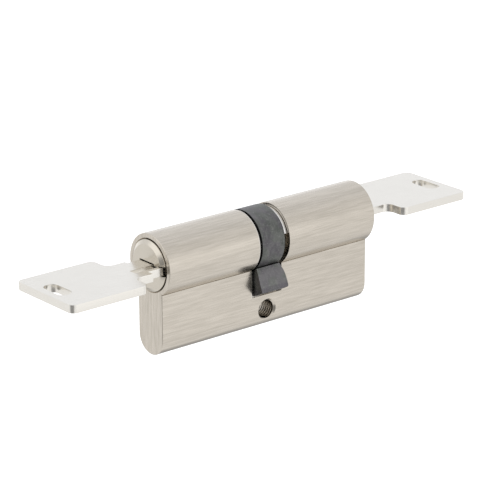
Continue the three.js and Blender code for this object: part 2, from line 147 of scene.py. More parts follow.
def curve(start: Point, pull: Point, end: Point, steps: int) -> list[Point]:
    """Points on a curve that leaves start towards a pull point and reaches end from it.

    Args:
        start: First point.
        pull: The point that the curve bends towards.
        end: Last point.
        steps: Number of chords.

    Returns:
        The points, in order.
    """
    made = []
    for i in range(steps + 1):
        t = i / steps
        pulls = zip(start, pull, end, strict=True)
        x, y = (s * (1 - t) ** 2 + p * 2 * t * (1 - t) + e * t**2 for s, p, e in pulls)
        made.append((x, y))
    return made


def eased(points: Sequence[Point], radius: float, steps: int = 3, closed: bool = False) -> list[Point]:
    """Rounds the corners of an outline or a turned profile.

    Args:
        points: Corners, in order.
        radius: How far from each corner the rounding starts, at most.
        steps: Chords in each rounded corner.
        closed: Whether the last point joins the first, so that they are rounded too.

    Returns:
        The rounded points.
    """
    count = len(points)
    made: list[Point] = []
    for i, (x, y) in enumerate(points):
        if not closed and i in (0, count - 1):
            made.append((x, y))
            continue
        corner = Vector((x, y))
        before = Vector(points[i - 1]) - corner
        after = Vector(points[(i + 1) % count]) - corner
        start = corner + before.normalized() * min(radius, before.length * 0.45)
        end = corner + after.normalized() * min(radius, after.length * 0.45)
        for k in range(steps + 1):
            t = k / steps
            bend = start * (1 - t) ** 2 + corner * 2 * t * (1 - t) + end * t**2
            made.append((bend.x, bend.y))
    return made


# ------------------------------------------------------------------ solids


class Blank:
    """A piece on the bench: a closed mesh in millimetres about the barrel axis."""

    def __init__(self, mesh: bpy.types.Mesh) -> None:
        """Puts a mesh on the bench."""
        self.body = bpy.data.objects.new("blank", mesh)
        bpy.context.scene.collection.objects.link(self.body)

    @classmethod
    def of(cls, shape: bmesh.types.BMesh) -> "Blank":
        """Turns an edited shape into a blank with its faces pointing out.

        Args:
            shape: The shape, which is used up.

        Returns:
            The blank.
        """
        bmesh.ops.recalc_face_normals(shape, faces=shape.faces[:])
        mesh = bpy.data.meshes.new("blank")
        shape.to_mesh(mesh)
        shape.free()
        return cls(mesh)

    @classmethod
    def loft(cls, rings: Sequence[Sequence[tuple[float, float, float]]], loop: bool = False) -> "Blank":
        """Skins a row of rings that have equally many points.

        Args:
            rings: Points in space, ring after ring.
            loop: Whether the last ring joins the first. Otherwise both ends are closed by a face.

        Returns:
            The closed solid.
        """
        shape = bmesh.new()
        rows = [[shape.verts.new(p) for p in ring] for ring in rings]
        count = len(rings[0])
        pairs = list(zip(rows, rows[1:] + ([rows[0]] if loop else []), strict=False))
        for low, high in pairs:
            for i in range(count):
                k = (i + 1) % count
                shape.faces.new((low[i], low[k], high[k], high[i]))
        if not loop:
            shape.faces.new(rows[0])
            shape.faces.new(rows[-1])
        return cls.of(shape)

    @classmethod
    def prism(cls, outline: Sequence[Point], axis: Axis, low: float, high: float) -> "Blank":
        """Pushes a flat outline along an axis from low to high."""
        return cls.loft([[axis.lift(a, b, along) for a, b in outline] for along in (low, high)])

    @classmethod
    def box(cls, low: Sequence[float], high: Sequence[float]) -> "Blank":
        """A block between two corners."""
        (x0, y0, z0), (x1, y1, z1) = low, high
        return cls.prism([(x0, y0), (x1, y0), (x1, y1), (x0, y1)], Axis.Z, z0, z1)

    @classmethod
    def turned(
        cls,
        profile: Sequence[Point],
        axis: Axis = Axis.X,
        facets: int = FINE,
        centre: Point = (0.0, 0.0),
        ring: bool = False,
    ) -> "Blank":
        """Turns a profile on a lathe.

        Args:
            profile: (place along the axis, radius) pairs.
            axis: Axis of the lathe.
            facets: Facets round the piece.
            centre: Where the axis passes, in the axis's flat coordinates.
            ring: Whether the profile closes on itself. Otherwise it starts and ends on the axis or is
                closed there by flat faces.

        Returns:
            The closed solid.
        """
        rings = []
        for along, radius in profile:
            flat = arc(centre, max(radius, 0.0), 0, 360 * (1 - 1 / facets), facets - 1)
            rings.append([axis.lift(a, b, along) for a, b in flat])
        return cls.loft(rings, loop=ring)

    @classmethod
    def rod(cls, radius: float, low: float, high: float, facets: int = FINE) -> "Blank":
        """A round bar along X."""
        return cls.turned([(low, radius), (high, radius)], facets=facets)

    def settle(self) -> None:
        """Applies the modifiers to the mesh."""
        seen = bpy.context.evaluated_depsgraph_get()
        mesh = bpy.data.meshes.new_from_object(self.body.evaluated_get(seen))
        spent = self.body.data
        self.body.modifiers.clear()
        self.body.data = mesh
        bpy.data.meshes.remove(spent)

    def combine(self, how: Cut, *others: "Blank") -> "Blank":
        """Cuts, joins or keeps the common part with other solids, which are used up.

        Args:
            how: What happens to this solid.
            others: The other solids, taken one after the other.

        Returns:
            This blank.
        """
        for other in others:
            modifier = self.body.modifiers.new("combine", "BOOLEAN")
            modifier.operation = how.value
            modifier.solver = "EXACT"
            modifier.object = other.body
        self.settle()
        for other in others:
            spent = other.body.data
            bpy.data.objects.remove(other.body)
            bpy.data.meshes.remove(spent)
        return self

    def moved(self, by: Matrix) -> "Blank":
        """Moves or turns the solid."""
        self.body.data.transform(by)
        return self

    def soften(self, width: float, pick: Callable[[Vector, Vector], bool], steps: int = 2) -> "Blank":
        """Breaks the sharp edges that a test picks.

        Args:
            width: Width of the rounding.
            pick: Test on an edge's two ends.
            steps: Facets across the rounding.

        Returns:
            This blank.
        """
        shape = bmesh.new()
        shape.from_mesh(self.body.data)
        bmesh.ops.remove_doubles(shape, verts=shape.verts[:], dist=1e-4)
        chosen = [
            e
            for e in shape.edges
            if e.is_manifold and e.calc_face_angle(0.0) > SHARP_EDGE and pick(e.verts[0].co, e.verts[1].co)
        ]
        bmesh.ops.bevel(
            shape,
            geom=chosen,
            offset=width,
            offset_type="OFFSET",
            segments=steps,
            profile=0.5,
            affect="EDGES",
            clamp_overlap=False,
        )
        shape.to_mesh(self.body.data)
        shape.free()
        return self

    def weighted(self) -> "Blank":
        """Shades the piece smooth up to its sharp edges, with normals led by its large faces.

        Returns:
            This blank.
        """
        shape = bmesh.new()
        shape.from_mesh(self.body.data)
        bmesh.ops.remove_doubles(shape, verts=shape.verts[:], dist=1e-5)
        shape.to_mesh(self.body.data)
        shape.free()
        mesh = self.body.data
        mesh.polygons.foreach_set("use_smooth", [True] * len(mesh.polygons))
        mesh.set_sharp_from_angle(angle=SMOOTH_ANGLE)
        modifier = self.body.modifiers.new("normals", "WEIGHTED_NORMAL")
        modifier.keep_sharp = True
        self.settle()
        return self


# ------------------------------------------------------------------ node graphs


class Graph:
    """Adds nodes to a node tree and lets sockets do sums."""

    def __init__(self, tree: bpy.types.NodeTree) -> None:
        """Wraps a node tree."""
        self.tree = tree

    def add(self, kind: str, settings: dict | None = None, inputs: dict | None = None) -> bpy.types.Node:
        """Adds one node.

        Args:
            kind: The node's type.
            settings: Properties, which are set first.
            inputs: Values, sockets or Terms for the node's sockets, by name or number.

        Returns:
            The node.
        """
        node = self.tree.nodes.new(kind)
        for key, value in (settings or {}).items():
            setattr(node, key, value)
        for key, value in (inputs or {}).items():
            self.feed(node.inputs[key], value)
        return node

    def feed(self, socket: bpy.types.NodeSocket, value: object) -> None:
        """Sets a socket's value, or links it when the value is a socket or a Term.

        Args:
            socket: The socket to feed.
            value: A plain value, a socket or a Term.
        """
        if isinstance(value, Term):
            value = value.socket
        if isinstance(value, bpy.types.NodeSocket):
            self.tree.links.new(value, socket)
        else:
            socket.default_value = value

    def term(self, node: bpy.types.Node, output: int | str = 0) -> "Term":
        """A node's output, ready for sums."""
        return Term(self, node.outputs[output])


@dataclass(frozen=True)
class Term:
    """A number in a node graph. Sums on it add Math nodes."""

    graph: Graph
    socket: bpy.types.NodeSocket

    def sum(self, operation: str, *others: object) -> "Term":
        """Adds one Math node that takes this term first.

        Args:
            operation: The node's operation.
            others: Its other numbers or Terms, in order.

        Returns:
            The result.
        """
        inputs = dict(enumerate((self, *others)))
        node = self.graph.add("ShaderNodeMath", {"operation": operation}, inputs)
        return Term(self.graph, node.outputs[0])

    def _after(self, operation: str, first: float) -> "Term":
        """Adds one Math node that takes this term second."""
        node = self.graph.add("ShaderNodeMath", {"operation": operation}, {0: first, 1: self})
        return Term(self.graph, node.outputs[0])

    def __add__(self, other: object) -> "Term":
        """This plus other."""
        return self.sum("ADD", other)

    __radd__ = __add__

    def __mul__(self, other: object) -> "Term":
        """This times other."""
        return self.sum("MULTIPLY", other)

    __rmul__ = __mul__

    def __sub__(self, other: object) -> "Term":
        """This less other."""
        return self.sum("SUBTRACT", other)

    def __rsub__(self, other: float) -> "Term":
        """Other less this."""
        return self._after("SUBTRACT", other)

    def __pow__(self, other: object) -> "Term":
        """This to a power."""
        return self.sum("POWER", other)

    def ranged(self, low: float, high: float) -> "Term":
        """Rises smoothly from nothing to one between two values, and stays level beyond them.

        Args:
            low: Where it is nothing. It may be above high, for a fall.
            high: Where it is one.

        Returns:
            The result.
        """
        node = self.graph.add(
            "ShaderNodeMapRange",
            {"interpolation_type": "SMOOTHSTEP"},
            {"Value": self, "From Min": low, "From Max": high},
        )
        return Term(self.graph, node.outputs[0])


# ------------------------------------------------------------------ finishes

Colour = tuple[float, float, float]
Vector3 = tuple[float, float, float]


class Surface(Graph):
    """A material's graph about one Principled shader, in millimetres about the barrel axis."""

    def __init__(self, name: str) -> None:
        """Starts an empty material.

        Args:
            name: The material's name.
        """
        self.material = bpy.data.materials.new(name)
        self.material.use_nodes = True
        super().__init__(self.material.node_tree)
        self.tree.nodes.clear()
        self.shader = self.add("ShaderNodeBsdfPrincipled")
        self.add("ShaderNodeOutputMaterial", None, {"Surface": self.shader.outputs[0]})
        coordinates = self.add("ShaderNodeTexCoord")
        scaled = self.add(
            "ShaderNodeMapping",
            {"vector_type": "POINT"},
            {
                "Vector": coordinates.outputs["Object"],
                "Scale": (1 / MM,) * 3,
                "Location": (0, 0, -AXIS_HEIGHT),
            },
        )
        self.place = scaled.outputs[0]
        self.facing = coordinates.outputs["Normal"]

    def parts(self, vector: bpy.types.NodeSocket) -> tuple[Term, Term, Term]:
        """A vector's three numbers."""
        node = self.add("ShaderNodeSeparateXYZ", None, {0: vector})
        return self.term(node, 0), self.term(node, 1), self.term(node, 2)

    def stretch(self, scale: Vector3) -> bpy.types.NodeSocket:
        """The place, scaled by its own number along each axis."""
        node = self.add("ShaderNodeVectorMath", {"operation": "MULTIPLY"}, {0: self.place, 1: scale})
        return node.outputs[0]

    def noise(self, scale: Vector3, detail: float = 3.0, distortion: float = 0.0) -> Term:
        """Cloudy noise, stretched by its scale along each axis."""
        inputs = {"Vector": self.stretch(scale), "Scale": 1.0, "Detail": detail, "Distortion": distortion}
        return self.term(self.add("ShaderNodeTexNoise", None, inputs))

    def blend(self, factor: object, low: object, high: object) -> bpy.types.NodeSocket:
        """Mixes two colours.

        Args:
            factor: Share of the second colour.
            low: First colour, or its socket.
            high: Second colour, or its socket.

        Returns:
            The mixed colour's socket.
        """
        low, high = (c if isinstance(c, bpy.types.NodeSocket) else (*c, 1.0) for c in (low, high))
        node = self.add("ShaderNodeMix", {"data_type": "RGBA"}, {0: factor, 6: low, 7: high})
        return node.outputs[2]

    def relief(self, height: Term, depth: float, strength: float) -> None:
        """Bumps the surface by a height map.

        Args:
            height: The map, from 0 to 1.
            depth: Depth of the map's full range, in millimetres.
            strength: Share of the bump that shows.
        """
        inputs = {"Height": height, "Distance": depth * MM, "Strength": strength}
        bump = self.add("ShaderNodeBump", None, inputs)
        self.feed(self.shader.inputs["Normal"], bump.outputs[0])

    def metal(self, colour: object, roughness: object) -> None:
        """Makes the surface bare metal.

        Args:
            colour: Its colour, or the colour's socket.
            roughness: Its roughness, or a Term.
        """
        self.feed(self.shader.inputs["Base Color"], colour)
        self.feed(self.shader.inputs["Roughness"], roughness)
        self.shader.inputs["Metallic"].default_value = 1.0


@dataclass(frozen=True)
class Finish:
    """A metal finish."""

    slot: str
    light: Colour
    dark: Colour
    roughness: float

    def dress(self, surface: Surface) -> None:
        """Builds the finish's nodes."""
        raise NotImplementedError

    def material(self) -> bpy.types.Material:
        """Builds the finish.

        Returns:
            The finished material.
        """
        surface = Surface(self.slot)
        self.dress(surface)
        return surface.material


@dataclass(frozen=True)
class SatinNickel(Finish):
    """Nickel plate on a surface that was linished along the barrel, and upwards on the end faces, with a
    painted highlight along the left rim of the cam slot and painted shade in the roots of the screw thread.
    """

    line_width: float = 0.22
    line_length: float = 5.0
    streak_width: float = 0.7
    streak_length: float = 16.0
    end_facing: float = 0.75
    slot_half: float = 5.0
    slot_reach: float = 14.7
    # Width and colour of the painted highlight: a pale band along the left rim of the cam slot.
    highlight_width: float = 0.35
    wear_and_highlight: Colour = (0.86, 0.83, 0.79)
    # Near-black colour of the painted shade in the roots of the screw thread.
    root_shade_colour: Colour = (0.02, 0.018, 0.015)
    thread_half: float = 4.35
    root_shade_start: float = 2.3
    root_shade_full: float = 2.42
    root_last: float = 2.75
    root_end: float = 2.9

    def thread_root_shade(self, surface: Surface) -> Term:
        """Where painted shade darkens the roots of the screw thread.

        Args:
            surface: The material's surface.

        Returns:
            One at the roots and nothing elsewhere.
        """
        along, across, up = surface.parts(surface.place)
        below = up + AXIS_HEIGHT
        radius = (along * along + below * below) ** 0.5
        inside = across.sum("ABSOLUTE").ranged(self.thread_half + 0.1, self.thread_half)
        deep = radius.ranged(self.root_shade_start, self.root_shade_full)
        return deep * radius.ranged(self.root_end, self.root_last) * inside

    def dress(self, surface: Surface) -> None:
        """Builds two sets of brush lines and picks one by where the face looks.

        Args:
            surface: The material's surface.
        """
        along, _, _ = surface.parts(surface.facing)
        on_end = along.sum("ABSOLUTE").ranged(self.end_facing, self.end_facing + 0.1)
        fine, long = 1 / self.line_width, 1 / self.line_length
        wide, far = 1 / self.streak_width, 1 / self.streak_length
        side_lines = surface.noise((long, fine, fine), 2.0)
        side_streaks = surface.noise((far, wide, wide), 3.0)
        end_lines = surface.noise((fine, fine * 0.6, long), 2.0)
        end_streaks = surface.noise((wide, wide, far), 3.0)
        lines = side_lines + on_end * (end_lines - side_lines)
        streaks = side_streaks + on_end * (end_streaks - side_streaks)
        patches = surface.noise((0.05, 0.12, 0.12), 2.0)
        tone = (lines.ranged(0.3, 0.7) * 0.45 + streaks.ranged(0.3, 0.7) * 0.4 + patches * 0.3) * 0.87
        place, _, up = surface.parts(surface.place)
        # Painted highlight: a pale band on the left rim of the cam slot, above the slot's floor, painted in
        # place of the rim's bright reflection.
        beside = place.ranged(-self.slot_half - self.highlight_width, -self.slot_half - 0.1)
        above = up.ranged(-self.slot_reach, 0.3 - self.slot_reach)
        wear_and_highlight = beside * place.ranged(0.1 - self.slot_half, -self.slot_half) * above
        brushed = surface.blend(tone, self.dark, self.light)
        # Lays the painted highlight on the brushed colour, then the painted shade in the thread roots.
        root_shaded = surface.blend(self.thread_root_shade(surface), surface.blend(wear_and_highlight, brushed, self.wear_and_highlight), self.root_shade_colour)
        surface.metal(root_shaded, self.roughness + 0.12 * lines)
        surface.relief(lines * 0.7 + streaks * 0.3, 0.012, 0.35)


@dataclass(frozen=True)
class PlugNickel(Finish):
    """Nickel plate on a faced and turned plug: faint rings about the barrel axis."""

    ring_pitch: float = 0.11

    def dress(self, surface: Surface) -> None:
        """Builds turning rings from the distance to the axis.

        Args:
            surface: The material's surface.
        """
        _, across, up = surface.parts(surface.place)
        radius = (across * across + up * up) ** 0.5
        grain = surface.noise((2.0, 2.0, 2.0), 4.0)
        rings = (radius * (2 * math.pi / self.ring_pitch) + grain * 5.0).sum("SINE") * 0.5 + 0.5
        patches = surface.noise((0.3, 0.3, 0.3), 2.0)
        tone = rings * 0.25 + grain * 0.35 + patches * 0.4
        surface.metal(surface.blend(tone, self.dark, self.light), self.roughness + 0.1 * grain)
        surface.relief(rings * 0.5 + grain * 0.5, 0.004, 0.3)


@dataclass(frozen=True)
class KeyNickel(Finish):
    """Bright nickel on a milled blank, with hairline scratches from use."""

    def dress(self, surface: Surface) -> None:
        """Builds faint milling lines, clouding and two families of hairlines.

        Args:
            surface: The material's surface.
        """
        lines = surface.noise((0.12, 5.0, 5.0), 2.0)
        cloud = surface.noise((0.25, 0.35, 0.5), 4.0)
        hairs = surface.noise((0.35, 9.0, 3.0), 1.0, 0.6).ranged(0.66, 0.74)
        cross = surface.noise((7.0, 0.5, 3.0), 1.0, 0.8).ranged(0.68, 0.76)
        wear_and_highlight = hairs * 0.6 + cross * 0.5
        tone = lines * 0.4 + cloud * 0.6
        base = surface.blend(tone, self.dark, self.light)
        surface.metal(base, self.roughness + 0.1 * cloud + 0.12 * wear_and_highlight)
        surface.relief(1 - wear_and_highlight * 0.5 + lines * 0.3, 0.006, 0.3)


@dataclass(frozen=True)
class SinteredSteel(Finish):
    """Dark pressed and tumbled steel: mottled, finely pitted, with light rub marks."""

    violet: Colour = (0.115, 0.105, 0.125)
    green: Colour = (0.10, 0.115, 0.10)
    # Pale colour of the rub marks, also blended in towards the top of the ring and on the lever's root.
    pale_tone: Colour = (0.30, 0.295, 0.29)
    # Near-black colour of the painted shade on the cam's left edge, in its narrow gap to the housing.
    gap_shade_colour: Colour = (0.01, 0.01, 0.01)
    left_edge: float = -4.3

    def dress(self, surface: Surface) -> None:
        """Builds mottling in two hues, pits, rub marks and painted shade on the left edge.

        Args:
            surface: The material's surface.
        """
        mottle = surface.noise((0.45, 0.45, 0.45), 4.0, 0.3)
        hue = surface.noise((0.3, 0.3, 0.3), 2.0)
        pits = surface.noise((6.0, 6.0, 6.0), 3.0)
        rubs = surface.noise((1.3, 0.5, 0.6), 4.0, 1.6).ranged(0.56, 0.66)
        hairs = surface.noise((1.2, 1.6, 3.4), 2.0, 2.2).ranged(0.60, 0.66)
        specks = surface.noise((3.5, 3.5, 3.5), 2.0).ranged(0.64, 0.70)
        place, across, up = surface.parts(surface.place)
        radius = (across * across + up * up) ** 0.5
        body = surface.blend(mottle.ranged(0.35, 0.65), self.dark, self.light)
        # Lighter towards the top of the ring and on the lever's root.
        top_and_lever_lighter = radius.ranged(8.6, 11.0) + (up.ranged(4.0, 8.4) * 0.9)
        body = surface.blend(top_and_lever_lighter.sum("MINIMUM", 1.0) * 0.5, body, self.pale_tone)
        tint = surface.blend(hue.ranged(0.4, 0.6), self.violet, self.green)
        tinted = surface.blend(0.45, body, tint)
        struck = specks * radius.ranged(13.0, 14.2)
        marks = rubs * 0.22 + hairs * 0.5 + struck * 0.8
        tip = radius.ranged(13.4, 14.3) * 0.55
        marked = surface.blend(marks.sum("MINIMUM", 1.0), surface.blend(tip, tinted, self.violet), self.pale_tone)
        # Painted shade: the cam's left edge, out to the ring's radius, goes near black where it sits in the
        # narrow gap to the housing.
        gap_shade = place.ranged(self.left_edge + 0.15, self.left_edge) * radius.ranged(8.8, 8.5)
        surface.metal(surface.blend(gap_shade, marked, self.gap_shade_colour), self.roughness + 0.2 * mottle)
        surface.relief(pits * 0.6 + mottle * 0.4, 0.02, 0.5)


@dataclass(frozen=True)
class DrawnMetal(Finish):
    """Small bright pieces: stamped, turned or drawn metal with fine tool lines."""

    scale: Vector3 = (3.0, 3.0, 9.0)

    def dress(self, surface: Surface) -> None:
        """Builds tool lines and slight clouding.

        Args:
            surface: The material's surface.
        """
        lines = surface.noise(self.scale, 3.0)
        cloud = surface.noise((0.6, 0.6, 0.6), 3.0)
        tone = lines * 0.6 + cloud * 0.4
        surface.metal(surface.blend(tone, self.dark, self.light), self.roughness + 0.15 * cloud)
        surface.relief(lines, 0.005, 0.3)


class FinishBook:
    """Every finish by its slot in the record, each built once."""

    def __init__(self) -> None:
        """Lists the finishes."""
        self._finishes = [
            SatinNickel("satin_nickel", (0.71, 0.655, 0.58), (0.52, 0.478, 0.415), 0.19),
            PlugNickel("plug_nickel", (0.68, 0.635, 0.56), (0.60, 0.555, 0.48), 0.17),
            KeyNickel("key_nickel", (0.87, 0.845, 0.795), (0.79, 0.76, 0.705), 0.17),
            SinteredSteel("sintered_steel", (0.20, 0.20, 0.195), (0.105, 0.105, 0.105), 0.38),
            DrawnMetal("bright_steel", (0.82, 0.81, 0.79), (0.68, 0.67, 0.66), 0.2, (4.0, 1.0, 1.0)),
            DrawnMetal("pin_brass", (0.80, 0.60, 0.30), (0.66, 0.47, 0.20), 0.22),
            DrawnMetal("spring_steel", (0.62, 0.62, 0.63), (0.45, 0.45, 0.47), 0.25, (6.0, 6.0, 6.0)),
        ]
        self._made: dict[str, bpy.types.Material] = {}

    def material(self, slot: str) -> bpy.types.Material:
        """Finds a slot's material, and builds it on first use.

        Args:
            slot: The slot's name in the record.

        Returns:
            The material.
        """
        if slot not in self._made:
            finish = next(f for f in self._finishes if f.slot == slot)
            self._made[slot] = finish.material()
        return self._made[slot]


# ------------------------------------------------------------------ the bench


@dataclass(frozen=True)
class Extent:
    """A CAD node's box in millimetres about the barrel axis, turned back to side B."""

    low: Vector
    high: Vector

    @classmethod
    def of(cls, node: str, side: Side = Side.B) -> "Extent":
        """Measures a node.

        Args:
            node: The node's name.
            side: The end that it is on.

        Returns:
            Its box, as if it were on side B.
        """
        to_bench = side.turn() @ Matrix.Translation((0, 0, -AXIS_HEIGHT)) @ Matrix.Scale(1 / MM, 4)
        corners = [to_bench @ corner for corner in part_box(node)]
        low = Vector([min(a, b) for a, b in zip(*corners, strict=True)])
        high = Vector([max(a, b) for a, b in zip(*corners, strict=True)])
        return cls(low, high)


class Bench:
    """Takes finished blanks into the frame and gives them their finish."""

    def __init__(self) -> None:
        """Opens the finish book."""
        self.finishes = FinishBook()

    def deliver(
        self,
        blank: Blank,
        name: str,
        body: str,
        nodes: list[str],
        slot: str,
        side: Side = Side.B,
    ) -> None:
        """Puts a piece in its place.

        Args:
            blank: The piece, in millimetres on side B.
            name: The piece's name.
            body: The CAD body that it rides on.
            nodes: The CAD nodes that it stands for, if any.
            slot: Its finish.
            side: The end that it belongs to.
        """
        to_frame = Matrix.Scale(MM, 4) @ Matrix.Translation((0, 0, AXIS_HEIGHT)) @ side.turn()
        piece = blank.moved(to_frame).body
        piece.name = name
        piece.data.name = name
        piece.data.materials.clear()
        piece.data.materials.append(self.finishes.material(slot))
        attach(piece, body)
        if nodes:
            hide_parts(*nodes)
        LOG.info("%-20s %6d faces on %s", name, len(piece.data.polygons), body)


# ------------------------------------------------------------------ recipes in Geometry Nodes


class Recipe(Graph):
    """A Geometry Nodes tree with named sizes as inputs."""

    def __init__(self, name: str, sizes: dict[str, str]) -> None:
        """Starts the tree.

        Args:
            name: The tree's name.
            sizes: Each input's name and its kind: Float or Int.
        """
        super().__init__(bpy.data.node_groups.new(name, "GeometryNodeTree"))
        face = self.tree.interface
        face.new_socket(name="Geometry", in_out="OUTPUT", socket_type="NodeSocketGeometry")
        kinds = {**sizes, "Finish": "Material"}
        made = {
            key: face.new_socket(name=key, in_out="INPUT", socket_type=f"NodeSocket{kind}")
            for key, kind in kinds.items()
        }
        self.identifiers = {key: socket.identifier for key, socket in made.items()}
        self.start = self.add("NodeGroupInput")

    def size(self, key: str) -> Term:
        """A named input, ready for sums."""
        return self.term(self.start, key)

    def close(self, geometry: bpy.types.NodeSocket) -> None:
        """Ends the tree in real geometry with its finish.

        Args:
            geometry: What the tree has made.
        """
        real = self.add("GeometryNodeRealizeInstances", None, {0: geometry})
        finish = self.start.outputs["Finish"]
        inputs = {"Geometry": real.outputs[0], "Material": finish}
        dressed = self.add("GeometryNodeSetMaterial", None, inputs)
        end = self.add("NodeGroupOutput")
        self.tree.links.new(dressed.outputs[0], end.inputs[0])

    def make(self, sizes: dict[str, float], finish: bpy.types.Material) -> Blank:
        """Runs the tree once.

        Args:
            sizes: A value for each named input.
            finish: The material that the result carries.

        Returns:
            The result as a plain mesh.
        """
        blank = Blank(bpy.data.meshes.new("recipe"))
        modifier = blank.body.modifiers.new("recipe", "NODES")
        modifier.node_group = self.tree
        for key, value in {**sizes, "Finish": finish}.items():
            modifier[self.identifiers[key]] = value
        blank.settle()
        shape = bmesh.new()
        shape.from_mesh(blank.body.data)
        bmesh.ops.recalc_face_normals(shape, faces=shape.faces[:])
        shape.to_mesh(blank.body.data)
        shape.free()
        return blank


class CoilRecipe(Recipe):
    """A wire or a thread that winds up Z, with a many-sided section that leans about its own middle."""

    def __init__(self) -> None:
        """Builds the tree."""
        floats = ("Radius", "Height", "Turns", "Wire", "Lean")
        super().__init__("coil", {**dict.fromkeys(floats, "Float"), "Sides": "Int", "Steps": "Int"})
        spiral = self.add(
            "GeometryNodeCurveSpiral",
            None,
            {
                "Resolution": self.size("Steps"),
                "Rotations": self.size("Turns"),
                "Start Radius": self.size("Radius"),
                "End Radius": self.size("Radius"),
                "Height": self.size("Height"),
            },
        )
        upright = self.add("GeometryNodeSetCurveNormal", {"mode": "Z_UP"}, {0: spiral.outputs[0]})
        section = self.add(
            "GeometryNodeCurvePrimitiveCircle",
            {"mode": "RADIUS"},
            {"Resolution": self.size("Sides"), "Radius": self.size("Wire")},
        )
        lean = self.add("ShaderNodeCombineXYZ", None, {2: self.size("Lean")})
        inputs = {"Geometry": section.outputs[0], "Rotation": lean.outputs[0]}
        leant = self.add("GeometryNodeTransform", None, inputs)
        swept = self.add(
            "GeometryNodeCurveToMesh",
            None,
            {"Curve": upright.outputs[0], "Profile Curve": leant.outputs[0], "Fill Caps": True},
        )
        self.close(swept.outputs[0])


class PinRecipe(Recipe):
    """A row of turned pins along X, each standing on Z 0, with a rounded foot and a coned tip."""

    def __init__(self) -> None:
        """Builds the tree."""
        floats = ("Radius", "Length", "Edge", "Cone", "Neck", "Tip Length", "Tip", "Pitch")
        super().__init__("turned_pins", {**dict.fromkeys(floats, "Float"), "Count": "Int", "Facets": "Int"})
        radius, length, edge = self.size("Radius"), self.size("Length"), self.size("Edge")
        shoulder = length - self.size("Tip Length")
        stations = [
            (0.0, radius - edge),
            (edge * 0.3, radius - edge * 0.3),
            (edge, radius),
            (shoulder - self.size("Cone"), radius),
            (shoulder, self.size("Neck")),
            (length, self.size("Tip")),
        ]
        marks = {"Count": len(stations), "Offset": (0, 0, 1)}
        line = self.add("GeometryNodeMeshLine", {"mode": "OFFSET"}, marks)
        path = self.add("GeometryNodeMeshToCurve", None, {0: line.outputs[0]})
        number = self.add("GeometryNodeInputIndex").outputs[0]
        height, width = (self._choose(number, [s[k] for s in stations]) for k in (0, 1))
        place = self.add("ShaderNodeCombineXYZ", None, {2: height})
        moves = {"Geometry": path.outputs[0], "Position": place.outputs[0]}
        placed = self.add("GeometryNodeSetPosition", None, moves)
        sized = self.add("GeometryNodeSetCurveRadius", None, {"Curve": placed.outputs[0], "Radius": width})
        circle = {"Resolution": self.size("Facets"), "Radius": 1.0}
        section = self.add("GeometryNodeCurvePrimitiveCircle", {"mode": "RADIUS"}, circle)
        lathe = {"Curve": sized.outputs[0], "Profile Curve": section.outputs[0], "Scale": width}
        turned = self.add("GeometryNodeCurveToMesh", None, {**lathe, "Fill Caps": True})
        step = self.add("ShaderNodeCombineXYZ", None, {0: self.size("Pitch")})
        spacing = {"Count": self.size("Count"), "Offset": step.outputs[0]}
        row = self.add("GeometryNodeMeshLine", {"mode": "OFFSET"}, spacing)
        copies = {"Points": row.outputs[0], "Instance": turned.outputs[0]}
        pins = self.add("GeometryNodeInstanceOnPoints", None, copies)
        self.close(pins.outputs[0])

    def _choose(self, number: bpy.types.NodeSocket, values: list) -> Term:
        """Picks one of several values by a point's number.

        Args:
            number: The point's number.
            values: A value or a Term for each point.

        Returns:
            The point's value.
        """
        switch = self.add("GeometryNodeIndexSwitch", {"data_type": "FLOAT"})
        while len(switch.index_switch_items) < len(values):
            switch.index_switch_items.new()
        self.feed(switch.inputs[0], number)
        for i, value in enumerate(values):
            self.feed(switch.inputs[i + 1], value)
        return self.term(switch)


# ------------------------------------------------------------------ sub-assemblies


